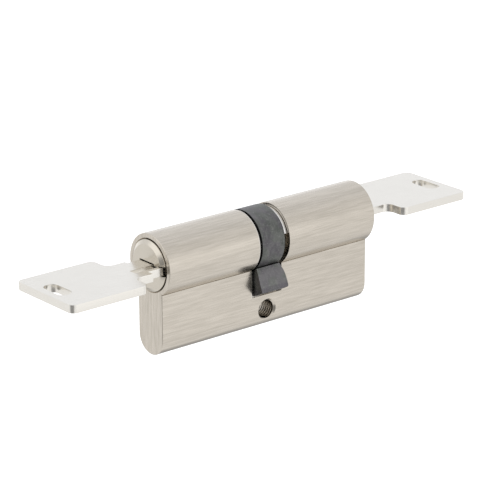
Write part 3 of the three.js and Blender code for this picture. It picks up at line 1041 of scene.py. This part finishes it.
@dataclass
class Housing:
    """Barrel and stem in one piece, bored for both plugs and slotted for the cam."""

    bench: Bench
    coils: CoilRecipe
    stem_half: float = 5.0
    end_round: float = 0.24
    seam_width: float = 0.2
    seam_depth: float = 0.34
    bore_gap: float = 0.2
    seat_gap: float = 0.15
    seat_bevel: float = 0.15
    slot_half: float = 5.0
    slot_reach: float = 15.45
    slot_edge: float = 0.2
    chamber_r: float = 1.5
    screw_core: float = 2.1
    screw_major: float = 2.5
    screw_rim: float = 3.0
    screw_pitch: float = 0.8
    thread_root: float = 0.03

    def outline(self, inset: float, barrel_r: float, bottom: float) -> list[Point]:
        """The euro profile, drawn inside its true line by an inset, with a fine groove along each seam.

        Args:
            inset: Distance inside the true line.
            barrel_r: Radius of the barrel.
            bottom: Lowest point of the stem.

        Returns:
            (Y, Z) points, anticlockwise.
        """
        half = self.stem_half - inset
        radius = barrel_r - inset
        seam = math.acos(half / radius)
        lip = math.degrees(self.seam_width / 2 / radius)
        meet = -radius * math.sin(seam)
        lean = (math.pi / 2 + seam) / 2
        deep = (half - self.seam_depth * math.sin(lean), meet + self.seam_depth * math.cos(lean))
        barrel = arc((0, 0), radius, lip - math.degrees(seam), 180 + math.degrees(seam) - lip, FINE)
        foot = arc((0, bottom + self.stem_half), half, 180, 360, MEDIUM)
        low = meet - self.seam_width / 2
        return [(half, low), deep, *barrel, (-deep[0], deep[1]), (-half, low), *foot]

    def screw_cutter(self) -> Blank:
        """Shapes the fixing-screw hole at its major diameter, with its countersinks, along Y.

        Returns:
            The solid to cut away.
        """
        face = self.stem_half
        sink = self.screw_rim - self.screw_major
        profile = [
            (-face - OVERCUT, self.screw_rim + OVERCUT),
            (-face + sink, self.screw_major),
            (face - sink, self.screw_major),
            (face + OVERCUT, self.screw_rim + OVERCUT),
        ]
        return Blank.turned(profile, Axis.Y, MEDIUM, (0, -AXIS_HEIGHT))

    def thread(self) -> Blank:
        """Winds the screw thread's ridge along Y: a triangle with its point in the wall.

        Returns:
            The ridge.
        """
        ridge = (self.screw_major + self.thread_root - self.screw_core) / 1.5
        height = 2 * (self.stem_half - self.screw_rim + self.screw_core)
        sizes = {
            "Radius": self.screw_core + ridge,
            "Height": height,
            "Turns": height / self.screw_pitch,
            "Wire": ridge,
            "Lean": math.pi,
            "Sides": 3,
            "Steps": MEDIUM,
        }
        thread = self.coils.make(sizes, self.bench.finishes.material("satin_nickel"))
        lie = Matrix.Translation((0, height / 2, -AXIS_HEIGHT)) @ Matrix.Rotation(math.pi / 2, 4, "X")
        return thread.moved(lie)

    def build(self, plug_r: float, head_r: float, head_back: float, chambers: Sequence[float]) -> None:
        """Machines the housing.

        Args:
            plug_r: Radius of the plugs' bodies.
            head_r: Radius of the plugs' heads.
            head_back: Back of a plug's head, from the middle.
            chambers: Places of one side's pin chambers along X.
        """
        extent = Extent.of("housing")
        end, barrel_r, bottom = extent.high.x, extent.high.z, extent.low.z
        corner = arc((end - self.end_round, 0.0), self.end_round, 0, 90, 3)
        stations = [(x, self.end_round - rise) for x, rise in corner]
        rings = []
        for x, inset in [(-x, i) for x, i in stations] + [(x, i) for x, i in reversed(stations)]:
            rings.append([(x, y, z) for y, z in self.outline(inset, barrel_r, bottom)])
        body = Blank.loft(rings)
        cutters = [
            Blank.rod(plug_r + self.bore_gap, -end - OVERCUT, end + OVERCUT),
            Blank.rod(self.slot_reach, -self.slot_half, self.slot_half, 2 * FINE),
            self.screw_cutter(),
        ]
        mouth = head_r + self.seat_gap
        for side in (-1, 1):
            seat = [(side * (head_back - self.seat_gap), mouth), (side * (end - self.seat_bevel), mouth)]
            seat.append((side * (end + OVERCUT), mouth + OVERCUT + self.seat_bevel))
            cutters.append(Blank.turned(seat))
            for x in chambers:
                low, high = bottom - OVERCUT, 0.0
                drill = [(low, self.chamber_r), (high, self.chamber_r)]
                cutters.append(Blank.turned(drill, Axis.Z, SMALL, (side * x, 0)))
        body.combine(Cut.AWAY, *cutters)

        def on_rim(v: Vector) -> bool:
            """Whether a corner lies where the slot's walls meet the outside, above the slot's floor.

            Args:
                v: The corner.

            Returns:
                True when it does.
            """
            radius = math.hypot(v.y, v.z)
            on_wall = abs(abs(v.x) - self.slot_half) < TOUCH
            outside = radius > barrel_r - 5 * TOUCH or abs(v.y) > self.stem_half - TOUCH
            return on_wall and outside and radius < self.slot_reach + 2 * TOUCH

        body.soften(self.slot_edge, lambda a, b: on_rim(a) and on_rim(b))
        self.bench.deliver(body.weighted(), "housing_body", "housing", ["housing"], "satin_nickel")
        self.bench.deliver(self.thread().weighted(), "screw_thread", "housing", [], "satin_nickel")


@dataclass
class Plug:
    """One turning plug with its keyway and retaining clip."""

    bench: Bench
    side: Side
    face_bevel: float = 1.15
    face_depth: float = 0.75
    head_length: float = 2.4
    head_inset: float = 0.07
    head_step: float = 0.5
    groove_depth: float = 0.9
    clip_gap: float = 0.1
    clip_edge: float = 0.14
    clip_slack: float = 0.15
    slot_face: float = 5.0
    edge: float = 0.08
    mouth_edge: float = 0.1
    keyway_half: float = 1.35
    keyway_far: float = -2.9
    rib_far: float = 3.0
    rib_near: float = 4.9
    rib_low: float = 0.8
    keyway_start: float = 6.3
    chamber_r: float = 1.5
    cross_half: float = 1.5
    cross_end: float = 3.8
    nose_r: float = 1.65
    nose_end: float = 8.6
    clip_span: float = 210.0
    clip_start: float = -45.0

    def radius(self) -> float:
        """The radius of the plug's body, which is a step smaller than its head."""
        return Extent.of(f"plug_{self.side.value}", self.side).high.z - self.head_step

    def build(self, chambers: Sequence[float]) -> None:
        """Machines the plug.

        Args:
            chambers: Places of the pin chambers along X.
        """
        name = f"plug_{self.side.value}"
        extent = Extent.of(name, self.side)
        head_r, face, inner = extent.high.z - self.head_inset, extent.high.x, extent.low.x
        radius = self.radius()
        clip = Extent.of(f"retaining_clip_{self.side.value}", self.side)
        profile = [
            (inner, 0.0),
            (inner, radius),
            (clip.low.x - self.clip_gap, radius),
            (clip.low.x - self.clip_gap, radius - self.groove_depth),
            (self.slot_face, radius - self.groove_depth),
            (self.slot_face, radius),
            (face - self.head_length, radius),
            (face - self.head_length, head_r),
            (face - self.face_depth, head_r),
            (face, head_r - self.face_bevel),
            (face, 0.0),
        ]
        turned = eased(profile, self.edge)
        turned[0], turned[-1] = (inner, NEAR_AXIS), (face, NEAR_AXIS)
        body = Blank.turned(turned)
        half = self.keyway_half
        start = self.keyway_start
        keyway = Blank.box((start, self.keyway_far, -half), (face + OVERCUT, head_r + OVERCUT, half))
        rib_low = (start - OVERCUT, self.rib_far, self.rib_low)
        rib_high = (face + 2 * OVERCUT, self.rib_near, half + OVERCUT)
        keyway.combine(Cut.AWAY, Blank.box(rib_low, rib_high))
        cutters = [keyway]
        for x in chambers:
            drill = [(-head_r, self.chamber_r), (0, self.chamber_r)]
            cutters.append(Blank.turned(drill, Axis.Z, SMALL, (x, 0)))
        reach = radius + OVERCUT
        cutters.append(
            Blank.box((inner - OVERCUT, -self.cross_half, -reach), (self.cross_end, self.cross_half, reach))
        )
        cutters.append(Blank.rod(self.nose_r, inner, self.nose_end, SMALL))
        body.combine(Cut.AWAY, *cutters)

        def on_mouth(v: Vector) -> bool:
            """Whether a corner lies on the keyway's mouth in the plug's face."""
            inside = math.hypot(v.y, v.z) < head_r - self.face_bevel - 10 * TOUCH
            return inside and abs(v.x - face) < TOUCH

        body.soften(self.mouth_edge, lambda a, b: on_mouth(a) and on_mouth(b), 1)
        self.bench.deliver(body.weighted(), f"{name}_core", name, [name], "plug_nickel", self.side)

    def build_clip(self) -> None:
        """Stamps the retaining clip: a round-edged ring that is open at one side."""
        name = f"retaining_clip_{self.side.value}"
        extent = Extent.of(name, self.side)
        outer = max(extent.high.z, -extent.low.y, extent.high.y)
        inner = self.radius() - self.groove_depth + self.clip_slack
        start = self.clip_start
        end = start + self.clip_span
        outline = arc((0, 0), outer, start, end, MEDIUM) + arc((0, 0), inner, end, start, MEDIUM)
        blank = Blank.prism(outline, Axis.X, extent.low.x, extent.high.x)
        blank.soften(self.clip_edge, lambda a, b: abs(a.x - b.x) < TOUCH)
        body = f"plug_{self.side.value}"
        self.bench.deliver(blank.weighted(), f"{name}_ring", body, [name], "bright_steel", self.side)


@dataclass
class Cam:
    """The sintered ring with its lever."""

    bench: Bench
    web_half: float = 1.9
    web_gap: float = 0.2
    clip_seat: float = 0.15
    bore_step: float = 1.1
    right: float = 3.35
    edge: float = 0.16
    lever_half: float = 3.45
    lever_angle: float = 21.0
    lever_root: float = 3.85
    lever_sunk: float = 0.4
    tip_corner: float = 1.1
    waist: float = 0.75
    flare: float = 2.1
    fillet: float = 0.15
    lever_edge: float = 0.2
    notch_half: float = 1.5

    def reach(self, lowest: float) -> float:
        """Works out the lever's reach.

        Args:
            lowest: The lowest point of the turned lever.

        Returns:
            The reach of its tip from the barrel axis.
        """
        turn = math.radians(self.lever_angle)
        corner = (-lowest - self.lever_half * math.sin(turn)) / math.cos(turn)
        return math.hypot(corner, self.lever_half)

    def lever(self, ring_r: float, reach: float, left: float, tip_right: float, plug_r: float) -> Blank:
        """Shapes the lever, pointing straight down.

        Args:
            ring_r: Outer radius of the ring.
            reach: Radius of the lever's tip.
            left: Left face, along X.
            tip_right: Right end of the tip, along X.
            plug_r: Radius inside the ring where the side view starts.

        Returns:
            The lever.
        """
        tip = math.degrees(math.asin(self.lever_half / reach))
        top = self.lever_sunk - ring_r
        front = [(-self.lever_half, top), *arc((0, 0), reach, 270 - tip, 270 + tip, SMALL)]
        front.append((self.lever_half, top))
        corner, root, waist = tip_right - self.tip_corner, self.lever_root, -ring_r - self.waist
        side = [(left, -plug_r), (left, -reach - OVERCUT), (corner, -reach - OVERCUT)]
        side += curve((corner, -reach), (tip_right, -reach), (tip_right, self.tip_corner - reach), 8)
        side += curve(side[-1], (tip_right, -ring_r - self.flare), (root, waist), 12)[1:]
        side += curve((root, waist), (root, -ring_r - self.fillet), (self.right, -ring_r), 8)[1:]
        side.append((self.right, -plug_r))
        lever = Blank.prism(front, Axis.X, left - OVERCUT, tip_right + OVERCUT)
        lever.combine(Cut.COMMON, Blank.prism(side, Axis.Y, -2 * self.lever_half, 2 * self.lever_half))
        return lever.soften(self.lever_edge, lambda a, b: min(-a.z, -b.z) > ring_r + 0.1, 3)

    def build(self, plug_r: float) -> None:
        """Presses the cam.

        Args:
            plug_r: Radius of the plugs' bodies.
        """
        extent = Extent.of("cam")
        clip = Extent.of("retaining_clip_a", Side.A)
        ring_r, left = extent.high.z, extent.low.x
        reach = self.reach(extent.low.z)
        seat_r = max(clip.high.z, clip.high.y, -clip.low.y) + self.clip_seat
        seat_x = self.web_gap - clip.low.x
        bore = plug_r + self.bore_step
        web = plug_r + self.web_gap
        profile = [
            (left, seat_r),
            (left, ring_r),
            (self.right, ring_r),
            (self.right, bore),
            (self.web_half, bore),
            (self.web_half, web),
            (-self.web_half, web),
            (-self.web_half, bore),
            (seat_x, bore),
            (seat_x, seat_r),
        ]
        ring = Blank.turned(eased(profile, self.edge, 3, True), ring=True)
        notch = (self.web_half + OVERCUT, self.notch_half, bore - 2 * TOUCH)
        ring.combine(Cut.AWAY, Blank.box([-size for size in notch], notch))
        lever = self.lever(ring_r, reach, left, extent.high.x, plug_r)
        middle_r = (ring_r + bore) / 2
        lever.combine(Cut.AWAY, Blank.rod(middle_r, left - 2 * OVERCUT, extent.high.x + 2 * OVERCUT))
        ring.combine(Cut.JOIN, lever.moved(Matrix.Rotation(-math.radians(self.lever_angle), 4, "X")))
        self.bench.deliver(ring.weighted(), "cam_ring", "cam", ["cam"], "sintered_steel")


@dataclass
class Key:
    """A flat dimple key in its keyway."""

    bench: Bench
    side: Side
    bow_end: float = 29.6
    centre: float = 2.2
    blade_near: float = 6.2
    blade_far: float = -2.7
    neck_length: float = 3.7
    neck_half: float = 6.0
    shoulder_r: float = 2.1
    bow_corner: float = 1.9
    end_corner: float = 1.8
    tip_bevel: float = 2.6
    slot_width: float = 4.0
    slot_length: float = 9.0
    slot_centre: float = 25.35
    edge: float = 0.2
    groove_near: float = 5.1
    groove_far: float = 2.8
    groove_depth: float = 0.55
    groove_run: float = 3.4
    dimple_r: float = 0.62
    dimple_depths: tuple[float, ...] = (0.5, 0.25, 0.42, 0.2, 0.35)

    def outline(self, extent: Extent, neck: float) -> list[Point]:
        """The key's outline, anticlockwise from the neck.

        Args:
            extent: The CAD key's box.
            neck: The neck's front, along X.

        Returns:
            (X, Y) points.
        """
        low_y, high_y, tip = extent.low.y, extent.high.y, extent.low.x
        near, far = self.blade_near, self.blade_far
        shoulder = neck + self.neck_length + self.shoulder_r
        bottom, top = self.centre - self.neck_half, self.centre + self.neck_half
        hollow_x, corner_x = neck + self.neck_length, shoulder + self.bow_corner
        end_x = extent.high.x - self.end_corner
        points = [(neck, top), (neck, near), (tip + self.tip_bevel, near), (tip, near - self.tip_bevel)]
        points += [(tip, far + self.tip_bevel), (tip + self.tip_bevel, far), (neck, far), (neck, bottom)]
        points += arc((hollow_x, bottom - self.shoulder_r), self.shoulder_r, 90, 0, 12)
        points += arc((corner_x, low_y + self.bow_corner), self.bow_corner, 180, 270, 12)
        points += arc((end_x, low_y + self.end_corner), self.end_corner, 270, 360, 8)
        points += arc((end_x, high_y - self.end_corner), self.end_corner, 0, 90, 8)
        points += arc((corner_x, high_y - self.bow_corner), self.bow_corner, 90, 180, 12)
        points += arc((hollow_x, top + self.shoulder_r), self.shoulder_r, 0, -90, 12)
        return points

    def ring_slot(self, neck: float, half: float) -> Blank:
        """Shapes the slot for a key ring.

        Args:
            neck: The neck's front, along X.
            half: Half the key's thickness.

        Returns:
            The solid to cut away.
        """
        r = self.slot_width / 2
        reach = self.slot_length / 2 - r
        x, y = neck + self.slot_centre, self.centre
        outline = arc((x, y + reach), r, 0, 180, 16) + arc((x, y - reach), r, 180, 360, 16)
        return Blank.prism(outline, Axis.Z, -half - OVERCUT, half + OVERCUT)

    def build(self, chambers: Sequence[float]) -> None:
        """Mills the key.

        Args:
            chambers: Places of the pin chambers along X, where the key fully home has its dimples.
        """
        name = f"key_{self.side.value}"
        extent = Extent.of(name, self.side)
        half = extent.high.z
        neck = extent.high.x - self.bow_end
        shift = extent.low.x - Extent.of("key_b").low.x
        body = Blank.prism(self.outline(extent, neck), Axis.Z, -half, half)
        body.combine(Cut.AWAY, self.ring_slot(neck, half))
        body.soften(self.edge, lambda a, b: abs(a.z - b.z) < TOUCH)
        start, end = extent.low.x - OVERCUT, neck + self.groove_run
        floor = half - self.groove_depth
        mirror = self.blade_near + self.blade_far
        near, far = self.groove_near, self.groove_far
        cutters = [
            Blank.box((start, far, floor), (end, near, half + OVERCUT)),
            Blank.box((start, mirror - near, -half - OVERCUT), (end, mirror - far, -floor)),
        ]
        for x, depth in zip(chambers, self.dimple_depths, strict=True):
            lower = [(-half - OVERCUT, self.dimple_r), (-floor, self.dimple_r), (depth - floor, 0.02)]
            upper = [(-along, r) for along, r in lower]
            cutters.append(Blank.turned(lower, Axis.Z, SMALL, (x + shift, 0)))
            cutters.append(Blank.turned(upper, Axis.Z, SMALL, (x + shift, mirror)))
        body.combine(Cut.AWAY, *cutters)
        self.bench.deliver(body.weighted(), f"{name}_blank", name, [name], "key_nickel", self.side)


@dataclass
class Clutch:
    """The two couplers and the spring between them."""

    bench: Bench
    coils: CoilRecipe
    bar_half: float = 1.3
    bar_thickness: float = 1.4
    nose_r: float = 1.45
    nose_root: float = 0.5
    nose_round: float = 0.35
    edge: float = 0.12
    spring_turns: float = 3.0
    wire: float = 0.15

    def build_coupler(self, side: Side, body: str) -> None:
        """Makes a cross bar with a nose.

        Args:
            side: The end that it belongs to.
            body: The CAD body that it rides on.
        """
        name = f"coupler_{side.value}"
        extent = Extent.of(name, side)
        reach, start = extent.high.z, extent.low.x
        end = start + self.bar_thickness
        bar = Blank.box((start, -self.bar_half, -reach), (end, self.bar_half, reach))
        bar.combine(Cut.COMMON, Blank.rod(reach, start - OVERCUT, end + OVERCUT))
        root, tip = start + self.nose_root, extent.high.x
        nose = eased([(root, self.nose_r), (tip, self.nose_r), (tip, 10 * NEAR_AXIS)], self.nose_round)
        bar.soften(self.edge, lambda a, b: True)
        bar.combine(Cut.JOIN, Blank.turned([(root, 10 * NEAR_AXIS), *nose], facets=MEDIUM))
        self.bench.deliver(bar.weighted(), f"{name}_bar", body, [name], "bright_steel", side)

    def build_spring(self) -> None:
        """Winds the clutch spring along X."""
        extent = Extent.of("clutch_spring")
        length = extent.high.x - extent.low.x - 2 * self.wire
        sizes = {
            "Radius": extent.high.z - self.wire,
            "Height": length,
            "Turns": self.spring_turns,
            "Wire": self.wire,
            "Lean": 0.0,
            "Sides": 12,
            "Steps": SMALL,
        }
        blank = self.coils.make(sizes, self.bench.finishes.material("spring_steel"))
        lie = Matrix.Translation((extent.low.x + self.wire, 0, 0)) @ Matrix.Rotation(math.pi / 2, 4, "Y")
        coil = blank.moved(lie).weighted()
        self.bench.deliver(coil, "clutch_coil", "plug_a", ["clutch_spring"], "spring_steel")


@dataclass
class PinStacks:
    """Key pins, driver pins, springs and chamber plugs of one side."""

    bench: Bench
    coils: CoilRecipe
    pins: PinRecipe
    side: Side
    count: int = 5
    edge: float = 0.3
    wire: float = 0.15
    spring_turns: float = 7.0
    driver_travel: float = 1.5
    places: list[float] = field(default_factory=list)

    def __post_init__(self) -> None:
        """Reads the chambers' places from the CAD key pins."""
        extents = [self.extent("key_pin", i) for i in range(1, self.count + 1)]
        self.places = [(e.low.x + e.high.x) / 2 for e in extents]

    def extent(self, kind: str, number: int) -> Extent:
        """The box of one piece of one stack."""
        return Extent.of(f"{kind}_{self.side.value}{number}", self.side)

    def _row(self, kind: str, number: int, count: int, tip: dict[str, float]) -> Blank:
        """Turns pins of one kind.

        Args:
            kind: The CAD nodes' kind.
            number: The first pin's number.
            count: How many pins the row has.
            tip: The sizes of the coned end.

        Returns:
            The pins in place.
        """
        extent = self.extent(kind, number)
        sizes = {
            "Radius": (extent.high.x - extent.low.x) / 2,
            "Length": extent.high.z - extent.low.z,
            "Edge": self.edge,
            "Pitch": self.places[1] - self.places[0],
            "Count": count,
            "Facets": SMALL,
            **tip,
        }
        row = self.pins.make(sizes, self.bench.finishes.material("pin_brass"))
        return row.moved(Matrix.Translation((self.places[number - 1], 0, extent.low.z)))

    def _nodes(self, kind: str) -> list[str]:
        """The CAD nodes of one kind on this side."""
        return [f"{kind}_{self.side.value}{i}" for i in range(1, self.count + 1)]

    def build(self) -> None:
        """Fills every chamber."""
        letter = self.side.value
        rounded = {"Cone": 0.15, "Neck": 1.3, "Tip Length": 0.15, "Tip": 1.05}
        coned = {"Cone": 0.68, "Neck": 0.52, "Tip Length": 0.85, "Tip": 0.4}
        flat = {"Cone": 0.1, "Neck": 1.33, "Tip Length": 0.05, "Tip": 1.28}
        rows = [("key_pin", f"plug_{letter}", coned), ("chamber_plug", "housing", flat)]
        for kind, body, tip in rows:
            row = self._row(kind, 1, self.count, tip).weighted()
            self.bench.deliver(row, f"{kind}s_{letter}", body, self._nodes(kind), "pin_brass", self.side)
        for number in range(1, self.count + 1):
            stack = f"{letter}{number}"
            driver = self._row("driver_pin", number, 1, rounded).weighted()
            name, body, node = f"driver_{stack}_pin", f"driver_{stack}", f"driver_pin_{stack}"
            self.bench.deliver(driver, name, body, [node], "pin_brass", self.side)
            self._spring(number, stack)

    def _spring(self, number: int, stack: str) -> None:
        """Winds one pin spring.

        Args:
            number: The chamber's number.
            stack: The chamber's side and number.
        """
        extent = self.extent("pin_spring", number)
        length = extent.high.z - extent.low.z
        sizes = {
            "Radius": (extent.high.y - extent.low.y) / 2 - self.wire,
            "Height": length - 2 * self.wire,
            "Turns": self.spring_turns,
            "Wire": self.wire,
            "Lean": 0.0,
            "Sides": 10,
            "Steps": 24,
        }
        blank = self.coils.make(sizes, self.bench.finishes.material("spring_steel")).weighted()
        blank.moved(Matrix.Translation((self.places[number - 1], 0, extent.low.z + self.wire)))
        name = f"spring_{stack}_coil"
        self.bench.deliver(blank, name, "housing", [f"pin_spring_{stack}"], "spring_steel", self.side)
        foot = (extent.low.z + AXIS_HEIGHT) * MM
        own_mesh(blank.body)


# ------------------------------------------------------------------ the studio


@dataclass
class Studio:
    """Camera, light tent and floor."""

    azimuth: float = -39.17
    elevation: float = 18.89
    roll: float = -0.25
    distance: float = 0.673
    lens: float = 190.7
    aside: tuple[float, float] = (-0.00393, -0.00077)
    floor_drop: float = 0.35
    floor_size: float = 9.0
    tent_level: float = 0.95
    sensor_width: float = 36.0

    def camera(self) -> None:
        """Sets the camera up, aimed near the middle of the barrel."""
        a, e = math.radians(self.azimuth), math.radians(self.elevation)
        back = Vector((math.sin(a) * math.cos(e), -math.cos(a) * math.cos(e), math.sin(e)))
        level = back.to_track_quat("Z", "Y").to_matrix().to_4x4()
        turn = Matrix.Rotation(math.radians(self.roll), 4, back) @ level
        target = Vector((0, 0, AXIS_HEIGHT * MM))
        offset = turn @ Vector((*self.aside, 0))
        data = bpy.data.cameras.new("camera")
        data.lens = self.lens
        data.sensor_width = self.sensor_width
        camera = bpy.data.objects.new("camera", data)
        camera.matrix_world = Matrix.Translation(target + back * self.distance + offset) @ turn
        bpy.context.scene.collection.objects.link(camera)
        bpy.context.scene.camera = camera

    def tent(self) -> None:
        """Lights the world as a pale tent with a dim corner on the left and a bright far wall."""
        world = bpy.data.worlds.new("tent")
        world.use_nodes = True
        bpy.context.scene.world = world
        graph = Graph(world.node_tree)
        world.node_tree.nodes.clear()
        way = graph.add("ShaderNodeTexCoord").outputs["Generated"]
        height = graph.term(graph.add("ShaderNodeSeparateXYZ", None, {0: way}), 2)

        def toward(direction: Vector3, near: float, far: float) -> Term:
            """Picks out a soft-edged patch of the tent.

            Args:
                direction: Where the patch's middle is.
                near: Angle from the middle that it fills, in degrees.
                far: Angle where it has faded out, in degrees.

            Returns:
                One in the patch and nothing elsewhere.
            """
            aim = Vector(direction).normalized()
            dot = graph.add("ShaderNodeVectorMath", {"operation": "DOT_PRODUCT"}, {0: way, 1: aim})
            closeness = Term(graph, dot.outputs["Value"])
            return closeness.ranged(math.cos(math.radians(far)), math.cos(math.radians(near)))

        far_wall = height.ranged(0.30, 0.02) * toward((0.66, 0.75, 0.0), 30, 62)
        right_top = toward((0.6, -0.3, 0.75), 22, 40)
        left_lamp = toward((-0.83, 0.27, 0.49), 12, 34)
        far_foot = toward((0.5, 0.62, -0.6), 18, 44)
        left_corner = toward((-0.86, -0.5, -0.1), 25, 42)
        level = self.tent_level + far_wall * 0.40 - right_top * 0.08 + left_lamp * 0.35
        level *= 1 - far_foot * 0.62
        level *= 1 - left_corner * 0.68
        cool_top = toward((0.3, 0.6, 0.6), 20, 80)
        tints = {0: cool_top, 6: (1, 1, 1, 1), 7: (0.985, 1.0, 1.03, 1)}
        cool = graph.add("ShaderNodeMix", {"data_type": "RGBA"}, tints)
        shade = graph.add("ShaderNodeBackground", None, {"Color": cool.outputs[2], "Strength": level})
        graph.add("ShaderNodeOutputWorld", None, {"Surface": shade.outputs[0]})

    def panel(self, name: str, place: Sequence[float], size: tuple[float, float], radiance: float) -> None:
        """Hangs a flat soft panel that faces the object.

        Args:
            name: The panel's name.
            place: Its middle, in metres.
            size: Width and height, in metres.
            radiance: How bright it looks.
        """
        data = bpy.data.lights.new(name, "AREA")
        data.shape = "RECTANGLE"
        data.size, data.size_y = size
        data.energy = radiance * math.pi * size[0] * size[1]
        lamp = bpy.data.objects.new(name, data)
        direction = Vector((0, 0, AXIS_HEIGHT * MM)) - Vector(place)
        aim = direction.to_track_quat("-Z", "Y").to_matrix().to_4x4()
        lamp.matrix_world = Matrix.Translation(place) @ aim
        bpy.context.scene.collection.objects.link(lamp)

    def floor(self) -> None:
        """Lays a pale floor well below the object."""
        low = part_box("housing")[0].z - self.floor_drop
        half = self.floor_size / 2
        mesh = bpy.data.meshes.new("floor")
        corners = [(x * half, y * half, low) for x, y in ((-1, -1), (1, -1), (1, 1), (-1, 1))]
        mesh.from_pydata(corners, [], [(0, 1, 2, 3)])
        floor = bpy.data.objects.new("floor", mesh)
        bpy.context.scene.collection.objects.link(floor)
        material = bpy.data.materials.new("floor_paper")
        material.use_nodes = True
        shader = material.node_tree.nodes["Principled BSDF"]
        shader.inputs["Base Color"].default_value = (0.9, 0.9, 0.9, 1)
        shader.inputs["Roughness"].default_value = 0.9
        shader.inputs["Emission Color"].default_value = (1, 1, 1, 1)
        shader.inputs["Emission Strength"].default_value = 0.5
        mesh.materials.append(material)
        floor.visible_glossy = False

    def build(self) -> None:
        """Sets everything up."""
        scene = bpy.context.scene
        scene.view_settings.view_transform = "Standard"
        self.camera()
        self.tent()
        self.panel("tall_panel", (0.18, -0.56, 0.02), (0.36, 0.52), 0.15)
        self.panel("side_panel", (0.19, -0.56, 0.13), (0.36, 0.26), 0.14)
        self.floor()


def main() -> None:
    """Builds the studio and every sub-assembly in order."""
    logging.basicConfig(level=logging.INFO, format="%(message)s")
    Studio().build()
    bench = Bench()
    coils, pins = CoilRecipe(), PinRecipe()
    stacks = {side: PinStacks(bench, coils, pins, side) for side in Side}
    plugs = {side: Plug(bench, side) for side in Side}
    plug_r = plugs[Side.B].radius()
    face = Extent.of("plug_b").high
    head_back = face.x - plugs[Side.B].head_length
    Housing(bench, coils).build(plug_r, face.z, head_back, stacks[Side.B].places)
    for side in Side:
        plugs[side].build(stacks[side].places)
        plugs[side].build_clip()
        Key(bench, side).build(stacks[side].places)
        stacks[side].build()
    Cam(bench).build(plug_r)
    clutch = Clutch(bench, coils)
    clutch.build_coupler(Side.A, "plug_a")
    clutch.build_coupler(Side.B, "coupler_b")
    clutch.build_spring()


if __name__ == "__main__":
    main()
